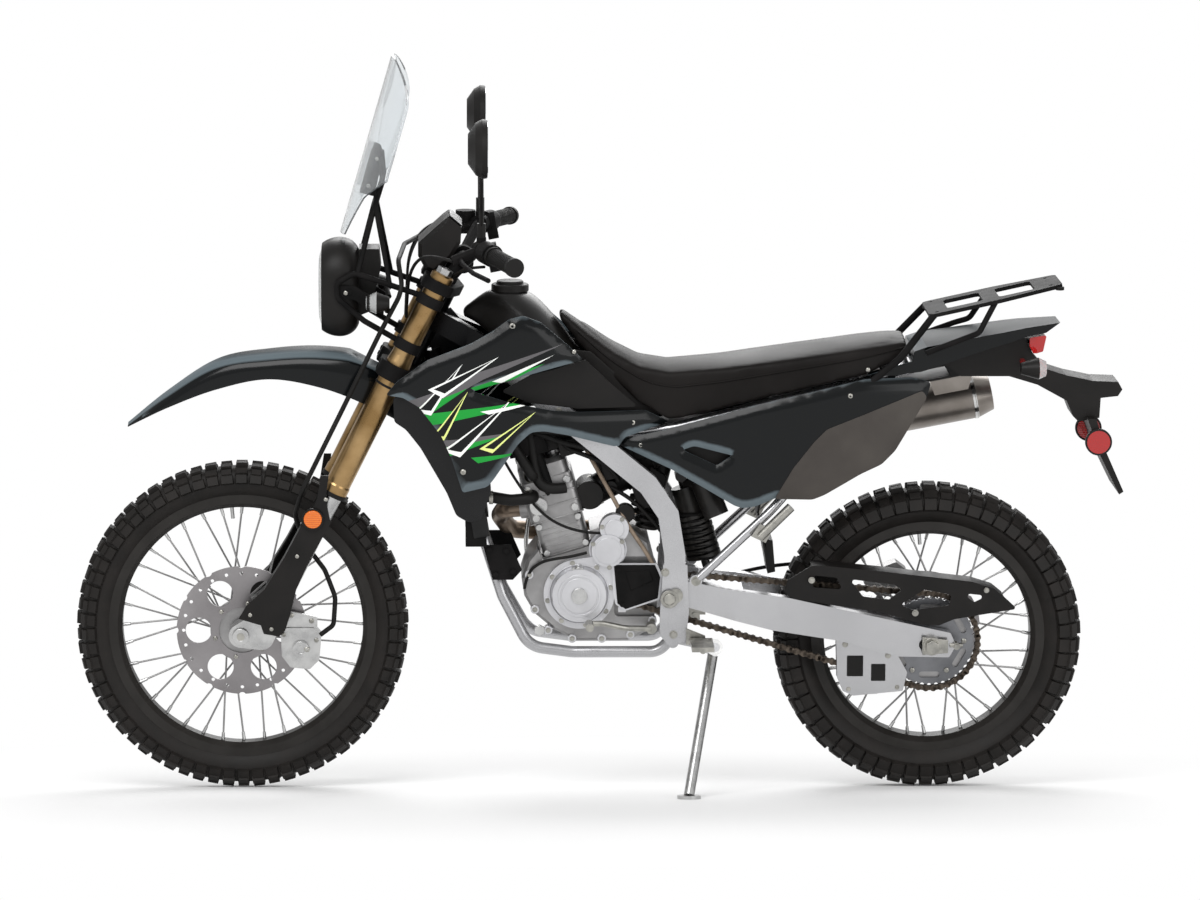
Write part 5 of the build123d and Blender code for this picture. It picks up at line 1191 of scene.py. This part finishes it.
def build_fasteners():
    """Every bolt that shows, by the body that carries it."""
    rows = [(x, side * (surface_out(SHROUD_DOME, x, z) - sink), z, radius, LEFT if side > 0 else RIGHT)
            for x, z, radius, sink in ((563, 1008, 7, 3.0), (462, 706, 6.5, 0.6), (812, 800, 6.5, 3.4),
                                       (690, 952, 4.5, 2.0))
            for side in SIDES]
    rows += [(x, side * (surface_out(COVER_DOME, x, z) - sink), z, radius, LEFT if side > 0 else RIGHT)
             for x, z, radius, sink in ((1262, 858, 5.5, 1.0), (830, 752, 5, 2.6)) for side in SIDES]
    rows += [(1060, 140, 642, 5, LEFT), (1180, 141, 676, 4, LEFT), (1300, 132, 730, 4, LEFT),
             (1390, 118, 836, 4, LEFT)]
    rows += both([(1420, 76, 948, 4.5), (1540, 66, 958, 4.5), (1300, 112, 908, 5)])
    bolts("panel_bolts", button_head, rows, "chassis", ZINC_STEEL)
    rows = ring_of(FLYWHEEL, 67, 8, 91.5, 4.4, LEFT, math.radians(12))
    rows += ring_of(STARTER_GEAR, 35, 3, 100.3, 4, LEFT, 0.6)
    rows += ring_of((777, 570), 26, 3, 94.3, 4, LEFT, 0.9)
    rows += ring_of((800, 440), 66, 9, -101, 4.6, RIGHT) + ring_of((706, 430), 50, 6, -92, 4.4, RIGHT)
    rows += [(x, 82, z, 4.4, LEFT) for x, z in ((600, 470), (612, 396), (640, 352), (690, 334), (752, 334),
                                                (812, 342), (858, 372))]
    black = both([(516, 85, 524, 6.5), (552, 85, 522, 6.5), (566, 85, 478, 6.5), (530, 85, 472, 6.5)])
    black += [(786, 101, 484, 4.4, LEFT), (794, 99, 410, 4.4, LEFT)]
    bolts("bracket_bolts", hex_head, black, "chassis", BLACK_METAL)
    rows += both([(882, 127.2, 484, 7), (900, 127.2, 352, 7), (660, 127.2, 826, 5), (946, 131, 466, 8),
                  (1300, 90, 876, 5)])
    rows += [(1187, 131.7, 468, 5.5, LEFT), (1404, 131.7, 398, 5.5, LEFT), (1552, 131.7, 446, 4.5, LEFT),
             (1262, 87.9, 322, 5, LEFT), (1352, 87.9, 298, 5, LEFT), (1270, 87.9, 226, 4, LEFT),
             (1372, 87.9, 230, 4, LEFT), (1392, -98.2, 436, 6, RIGHT), (1328, -98.2, 430, 6, RIGHT)]
    rows += both([(1492, 128, 326, 6)])
    bolts("frame_bolts", hex_head, rows, "chassis", ZINC_STEEL)
    rows = ring_of((0, FRONT_RADIUS), 58, 6, 68.4, 5, LEFT, 0.3)
    bolts("front_disc_bolts", button_head, rows, "front_wheel", ZINC_STEEL)
    rows = ring_of((WHEELBASE, REAR_RADIUS), 72, 6, 77.2, 6, LEFT, 0.0)
    rows += ring_of((WHEELBASE, REAR_RADIUS), 50, 5, -74.4, 5, RIGHT, 0.3)
    bolts("sprocket_bolts", button_head, rows, "rear_wheel", ZINC_STEEL)
    rows = both([(x, 133.8, z, 4.5) for x, z in ((178, 640), (118, 520), (20, 396), (64, 366))])
    rows += [(88, 94.4, 346, 5, LEFT), (156, 94.4, 334, 5, LEFT), (104, 88.6, 386, 5.5, LEFT),
             (146, 88.6, 374, 5.5, LEFT)]
    rows += both([(220, 96.4, 1066, 5), (276, 96.4, 1046, 5), (286, 62.4, 1340, 4.5),
                  (268, 62.4, 1284, 4.5)])
    rows += ring_of((123, 316), 13, 1, 101.2, 6, LEFT)
    bolts("steering_bolts", button_head, rows, "steering", ZINC_STEEL)


def build_front_details():
    """Seals and caps of the fork, reflectors, lamp lenses, mirror glass, grips and the instruments."""
    shape = new_shape()
    for side in SIDES:
        add_band(shape, fork(0, side * 102, 352), FORK_UP, 22, 29.5, 9)
        add_band(shape, fork(0, side * 102, 606), FORK_UP, 25.5, 27.4, 5)
        for up in (632, 644):
            add_rod(shape, fork(-30, side * 88, up), fork(-38, side * 88, up), 5, 6)
    finished("fork_seals", shape, "steering", RUBBER, 0.6)
    shape = new_shape()
    for side in SIDES:
        add_rod(shape, fork(0, side * 102, 862), fork(0, side * 102, 878), 17, 6)
        add_band(shape, at(0, side * 134, FRONT_RADIUS), LEFT, 8, 17, 5)
    add_band(shape, at(123, 101.6, 316), LEFT, 8, 17, 2)
    finished("fork_caps", shape, "steering", MACHINED, 0.8)
    shape = new_shape()
    add_pin(shape, 151, 599, 135, 141.5, 20, 40, 18.5)
    finished("amber_reflectors", shape, "steering", AMBER_LENS, 0.6, mirrored=True)
    shape = new_shape()
    add_band(shape, at(151, 137, 599), LEFT, 19.6, 22.5, 8)
    add_oval(shape, at(509.2, 330, 1392), 1.4, 66, 58, 65, 57, 48)
    add_mirrored(shape)
    finished("mirror_rims", shape, "steering", BLACK_PLASTIC)
    shape = new_shape()
    add_oval(shape, at(510.7, 330, 1392), 0.8, 62, 54, 61.5, 53.5, 48)
    finished("mirror_glass", shape, "steering", MIRROR_GLASS, mirrored=True)
    shape = new_shape()
    add_oval(shape, at(284.4, 140, 1052), -22, 26.8, 22.8, 16, 13)
    finished("front_indicator_lenses", shape, "steering", CLEAR_LENS, 1.0, mirrored=True)
    shape = new_shape()
    add_box(shape, (447.2, 0, 1210.4), (33, 112, 3), Matrix.Rotation(math.radians(40.4), 3, "Y"))
    finished("instrument_window", shape, "steering", BLACK_GLOSS, 1.2)
    bend, bar_end = at(494, 196, 1172), at(563, 404, 1162)
    shape = new_shape()
    for step in range(15):
        add_band(shape, bend.lerp(bar_end, 0.49 + step * 0.033), (bar_end - bend).normalized(), 15, 17.5,
                 3.4, 32)
    finished("grip_ribs", shape, "steering", RUBBER, 0.5, mirrored=True)


SPOKES = 36
SPOKE_SWEEP = 68                # degrees between a spoke's two ends, round the axle


def laced(axle, hub_radius, hub_out, rim_radius):
    """Each spoke's ends as (at hub, at rim), the same way as the wheel is laced."""
    runs = []
    for count in range(SPOKES):
        side, lead = (1 if count % 2 else -1), (1 if count // 2 % 2 else -1)
        rim_turn = math.radians(count * 360 / SPOKES)
        hub_turn = rim_turn - math.radians(lead * SPOKE_SWEEP)
        runs.append((
            Vector((axle[0] + hub_radius * math.cos(hub_turn), side * (hub_out + lead * 2.6),
                    axle[1] + hub_radius * math.sin(hub_turn))),
            Vector((axle[0] + rim_radius * math.cos(rim_turn), side * (5 + lead * 2.6),
                    axle[1] + rim_radius * math.sin(rim_turn)))))
    return runs


CLAMP_FOOT = 619.6              # how far up the fork the lower clamp's underside is
FENDER_PLACES = (               # x, half width, top, lower edge
    (-236, 22, 781, 773), (-150, 47, 850, 818), (-48, 58, 914, 858), (60, 64, 934, 880),
    (170, 68, 939, 862), (262, 66, 922, 826), (330, 58, 862, 790))


def curved(rows, share):
    """A row between others at a share of the way along, on a smooth curve through them all."""
    place = share * (len(rows) - 1)
    index = min(int(place), len(rows) - 2)
    step = place - index
    before, start, end, after = (rows[min(max(index + k, 0), len(rows) - 1)] for k in (-1, 0, 1, 2))
    return [0.5 * (2 * b + (c - a) * step + (2 * a - 5 * b + 4 * c - d) * step ** 2
                   + (3 * b - a - 3 * c + d) * step ** 3)
            for a, b, c, d in zip(before, start, end, after)]


def build_fender():
    """The front fender as one smooth trough, bolted up under the lower clamp."""
    shape = new_shape()
    rows = []
    for step in range(81):
        x, half, top, low = curved(FENDER_PLACES, step / 80)
        section = [(half - 0.2, low + 0.3), (half * 0.985, (low + top) / 2 - half * 0.1),
                   (half * 0.95, top - half * 0.36), (half * 0.84, top - half * 0.2),
                   (half * 0.62, top - 4), (half * 0.3, top - 1.5), (0, top - 0.6)]
        outer = section + [(-out, z) for out, z in reversed(section[:-1])]
        inner = [(out * (1 - 3.4 / half), z - (3.2 if abs(out) < half * 0.9 else 0.4))
                 for out, z in reversed(outer)]
        limit = []
        for out, z in outer + inner:
            up = FORK_BACK * (x - FORK_FOOT[0]) + FORK_RISE * (z - FORK_FOOT[1])
            drop = max(0.0, up - CLAMP_FOOT) / FORK_RISE
            limit.append(shape.verts.new(at(x, out, z - drop)))
        rows.append(limit)
    for first, second in zip(rows, rows[1:]):
        bridge(shape, first, second)
    for end in (rows[0], rows[-1]):
        half = len(end) // 2
        for index in range(half - 1):
            shape.faces.new((end[index], end[index + 1], end[-index - 2], end[-index - 1]))
    finished("smooth_fender", shape, "steering", FENDER_PAINT, smooth=40,
             replaced=("front_fender",))


def build_shade_fill_panels():
    """Dark panels and housings that show through the gaps of the bodywork, set there as painted shade."""
    shape = new_shape()
    # painted shade: dark sheets behind the shrouds' gap and the side covers' hole, and dark housings and
    # blocks in the gaps round the engine
    add_plate(shape, [(688, 946), (726, 942), (862, 826), (872, 796), (790, 784), (690, 800), (566, 850),
                      (560, 890)], 78, 82)
    add_plate(shape, [(890, 700), (900, 770), (1040, 790), (1040, 690), (960, 680)], 108, 112)
    add_mirrored(shape)
    add_pin(shape, 726, 634, -36, 58, 30, 32)
    add_box(shape, at(786, 34, 700), (74, 56, 54), ENGINE_TURN)
    add_box(shape, at(842, 56, 640), (46, 40, 60), ENGINE_TURN)
    add_box(shape, at(690, 62, 742), (60, 30, 34), ENGINE_TURN)
    add_pin(shape, 800, 600, 60, 84, 20, 24)
    add_rod(shape, at(846, -20, 560), at(880, -20, 700), 24, 24)
    add_box(shape, at(800, -10, 742), (150, 120, 84), ENGINE_TURN)
    add_box(shape, at(690, 6, 764), (190, 90, 44), ENGINE_TURN)
    add_box(shape, at(846, -6, 640), (56, 96, 150), ENGINE_TURN)
    add_box(shape, at(620, -20, 700), (40, 80, 90), ENGINE_TURN)
    for up in range(5):
        add_band(shape, at(846 - up * 3, 40, 566 + up * 15), (0.2, 0, 1), 14, 24, 8, 32)
    finished("inner_panels", shape, "chassis", BLACK_PLASTIC, 2.0)


def build_wheel_details():
    """Each wheel's spoke nipples and valve stem."""
    for body, axle, hub_radius, hub_out, rim_radius in (
        ("front_wheel", (0, FRONT_RADIUS), 32, 30, 252),
        ("rear_wheel", (WHEELBASE, REAR_RADIUS), 51, 37, 218),
    ):
        shape = new_shape()
        for hub_end, rim_end in laced(axle, hub_radius, hub_out, rim_radius):
            way = (rim_end - hub_end).normalized()
            add_rod(shape, rim_end - way * 17, rim_end - way * 0.5, 3.3, 8, 3.9)
            add_rod(shape, hub_end - way * 2, hub_end + way * 7, 3.2, 8, 2.3)
        turn = math.radians(95)
        stem = [Vector((axle[0] + reach * math.cos(turn), 0, axle[1] + reach * math.sin(turn)))
                for reach in (rim_radius - 26, rim_radius)]
        add_rod(shape, *stem, 4.0, 12)
        finished(body + "_nipples", shape, body, MACHINED, smooth=50)


MUFFLER_SLOPE = math.radians(11)
CAN_TALL, CAN_WIDE = 47, 54     # half sizes of the muffler's oval can
SHOCK_HEAD, SHOCK_FOOT = Vector((918, 0, 668)), Vector((978, 0, 462))
SPRING_TURNS = 8


def build_rear_details():
    """Rear lamps, reflector rims, chain guide, axle nuts, muffler bands, rack pads and the spring."""
    shape = new_shape()
    add_oval(shape, at(1649.6, 150, 917), -37, 26.8, 22.8, 16, 12)
    finished("rear_indicator_shells", shape, "chassis", BLACK_PLASTIC, 1.0, mirrored=True)
    shape = new_shape()
    add_oval(shape, at(1649.8, 150, 917), 15, 26.4, 22.4, 20, 16)
    finished("rear_indicator_lenses", shape, "chassis", CLEAR_LENS, 1.0, mirrored=True)
    shape = new_shape()
    add_band(shape, at(1785, 88, 752), LEFT, 24, 28, 9)
    add_band(shape, at(1785, -88, 752), LEFT, 24, 28, 9)
    finished("reflector_rims", shape, "chassis", BLACK_PLASTIC, 0.8)
    shape = new_shape()
    add_box(shape, at(1283, 89, 276), (34, 3, 44))
    add_box(shape, at(1332, 89, 262), (30, 3, 36))
    finished("guide_blocks", shape, "chassis", RUBBER, 2.0)
    shape = new_shape()
    for side in SIDES:
        add_plate(shape, [(1420, 346), (1474, 340), (1474, 312), (1420, 308)],
                  *sorted((side * 127.2, side * 130.5)))
        add_pin(shape, WHEELBASE, REAR_RADIUS, side * 130, side * 147, 15, 6)
        add_band(shape, at(WHEELBASE, side * 133, REAR_RADIUS), LEFT, 12, 19, 3)
        add_rod(shape, at(1478, side * 115, 326), at(1506, side * 115, 326), 5, 8)
        add_rod(shape, at(1488, side * 115, 326), at(1494, side * 115, 326), 9, 6)
        add_pin(shape, 891, 429, side * 128, side * 139, 13, 6)
        add_band(shape, at(891, side * 136, 429), LEFT, 12, 19, 3)
    finished("axle_nuts", shape, "chassis", ZINC_STEEL, 0.8)
    shape = new_shape()
    level, rise = math.cos(MUFFLER_SLOPE), math.sin(MUFFLER_SLOPE)
    muffler_way = Vector((level, 0, rise))
    muffler_foot = at(1196, -152, 742)
    for along, wide in ((62, 4), (352, 5), (358, 2)):
        rows = []
        for shift in (0, wide):
            for swell in (0.0, 1.8):
                place = muffler_foot + muffler_way * along + muffler_way * shift
                rows.append([shape.verts.new(place + Vector((
                    -rise * (CAN_TALL + swell) * math.sin(turn), (CAN_WIDE + swell) * math.cos(turn),
                    level * (CAN_TALL + swell) * math.sin(turn))))
                    for turn in (2 * math.pi * step / 48 for step in range(48))])
        for first, second in ((0, 1), (1, 3), (3, 2), (2, 0)):
            bridge(shape, rows[first], rows[second])
    add_band(shape, muffler_foot + muffler_way * 393, muffler_way, 17, 24, 4)
    finished("muffler_bands", shape, "chassis", BRIGHT_STEEL)
    shape = new_shape()
    for x, z in ((1436, 1016), (1575, 1050), (1700, 1075)):
        for side in SIDES:
            add_rod(shape, at(x, side * 70, z - 6), at(x, side * 70, z + 1), 9, 16)
    finished("rack_pads", shape, "chassis", RUBBER, 0.8)
    spring = []
    for step in range(150):
        share = step / 149
        turn = share * 2 * math.pi * SPRING_TURNS
        middle = SHOCK_HEAD.lerp(SHOCK_FOOT, 0.38 + share * 0.5)
        spring.append((middle.x + 33 * math.cos(turn), 33 * math.sin(turn), middle.z))
    wire("shock_spring", spring, 5.0, "chassis", BLACK_METAL)


build_tyres()
build_chain()
build_panels()
build_seat()
build_engine_details()
build_hoses()
build_fasteners()
build_front_details()
build_wheel_details()
build_rear_details()
build_fender()
build_shade_fill_panels()
build_tank()


# ---- floor, light and camera ----------------------------------------------------------------
VIEW_X, VIEW_Z = 749.0, 712.0   # what the camera looks at on the machine's middle plane
CAMERA_X, CAMERA_Z = 436.0, 900.0
CAMERA_AWAY = 11000.0
VIEW_WIDTH, FILM = 2538, 36     # millimetres seen across at the machine, and the sensor's width


def build_floor():
    """A wide pale floor that fades to the white background."""
    material, tree, shader = new_finish("pale_floor")
    coords = tree.nodes.new("ShaderNodeTexCoord")
    cloud = noise(tree, coords.outputs["Object"], 900, 3.0)
    colour = mixed(tree, cloud, tone(238, 238, 238), tone(244, 244, 244))
    tree.links.new(colour, shader.inputs["Base Color"])
    set_shader(shader, Roughness=0.7, Specular_IOR_Level=0.2)
    away = tree.nodes.new("ShaderNodeVectorMath")
    away.operation = "LENGTH"
    flatten = tree.nodes.new("ShaderNodeMapping")
    flatten.inputs["Scale"].default_value = (0.75, 1.0, 1.0)
    tree.links.new(coords.outputs["Object"], flatten.inputs["Vector"])
    tree.links.new(flatten.outputs["Vector"], away.inputs[0])
    glow = tree.nodes.new("ShaderNodeEmission")
    fade = tree.nodes.new("ShaderNodeMixShader")
    tree.links.new(spread(tree, away.outputs["Value"], 0.5, 1.6, 0.0, 1.0), fade.inputs["Fac"])
    tree.links.new(shader.outputs["BSDF"], fade.inputs[1])
    tree.links.new(glow.outputs["Emission"], fade.inputs[2])
    tree.links.new(fade.outputs["Shader"], tree.nodes["Material Output"].inputs["Surface"])
    bpy.ops.mesh.primitive_plane_add(size=60)
    floor = bpy.context.object
    floor.name = "floor"
    floor.data.materials.append(material)


def build_light():
    """A white room: an even world, with soft lamps above, in front and behind."""
    scene = bpy.context.scene
    scene.view_settings.view_transform = "Standard"
    world = bpy.data.worlds.new("studio")
    scene.world = world
    world.use_nodes = True
    tree = world.node_tree
    backdrop = tree.nodes["Background"]
    backdrop.inputs["Color"].default_value = (1, 1, 1, 1)
    rays = tree.nodes.new("ShaderNodeLightPath")
    seen = maths(tree, "MAXIMUM", rays.outputs["Is Camera Ray"], rays.outputs["Is Transmission Ray"])
    tree.links.new(spread(tree, seen, 0.0, 1.0, 0.62, 1.0), backdrop.inputs["Strength"])
    for name, place, size, power in (
        ("key", (-1.6, -4.2, 4.2), 3.2, 190), ("fill", (3.4, -4.0, 1.6), 3.0, 60),
        ("rim", (0.4, 3.4, 3.4), 3.0, 110),
    ):
        lamp = bpy.data.lights.new(name, "AREA")
        lamp.size = size
        lamp.energy = power
        holder = linked(name, lamp)
        holder.location = place
        aim = Vector((0, 0, 0.6)) - Vector(place)
        holder.rotation_euler = aim.to_track_quat("-Z", "Y").to_euler()


def build_camera():
    """A long lens from the left, a little ahead of the middle."""
    lens_data = bpy.data.cameras.new("camera")
    lens_data.sensor_width = FILM
    lens_data.lens = FILM * CAMERA_AWAY / VIEW_WIDTH
    camera = linked("camera", lens_data)
    aim = PARKED @ at(VIEW_X, 0, VIEW_Z)
    origin = PARKED @ at(VIEW_X, 0, 0)
    aim = Vector((aim.x, aim.y, VIEW_Z / 1000))
    place = Vector((aim.x + (CAMERA_X - VIEW_X) / 1000, origin.y - CAMERA_AWAY / 1000, CAMERA_Z / 1000))
    camera.location = place
    camera.rotation_euler = (aim - place).to_track_quat("-Z", "Y").to_euler()
    bpy.context.scene.camera = camera


build_floor()
build_light()
build_camera()
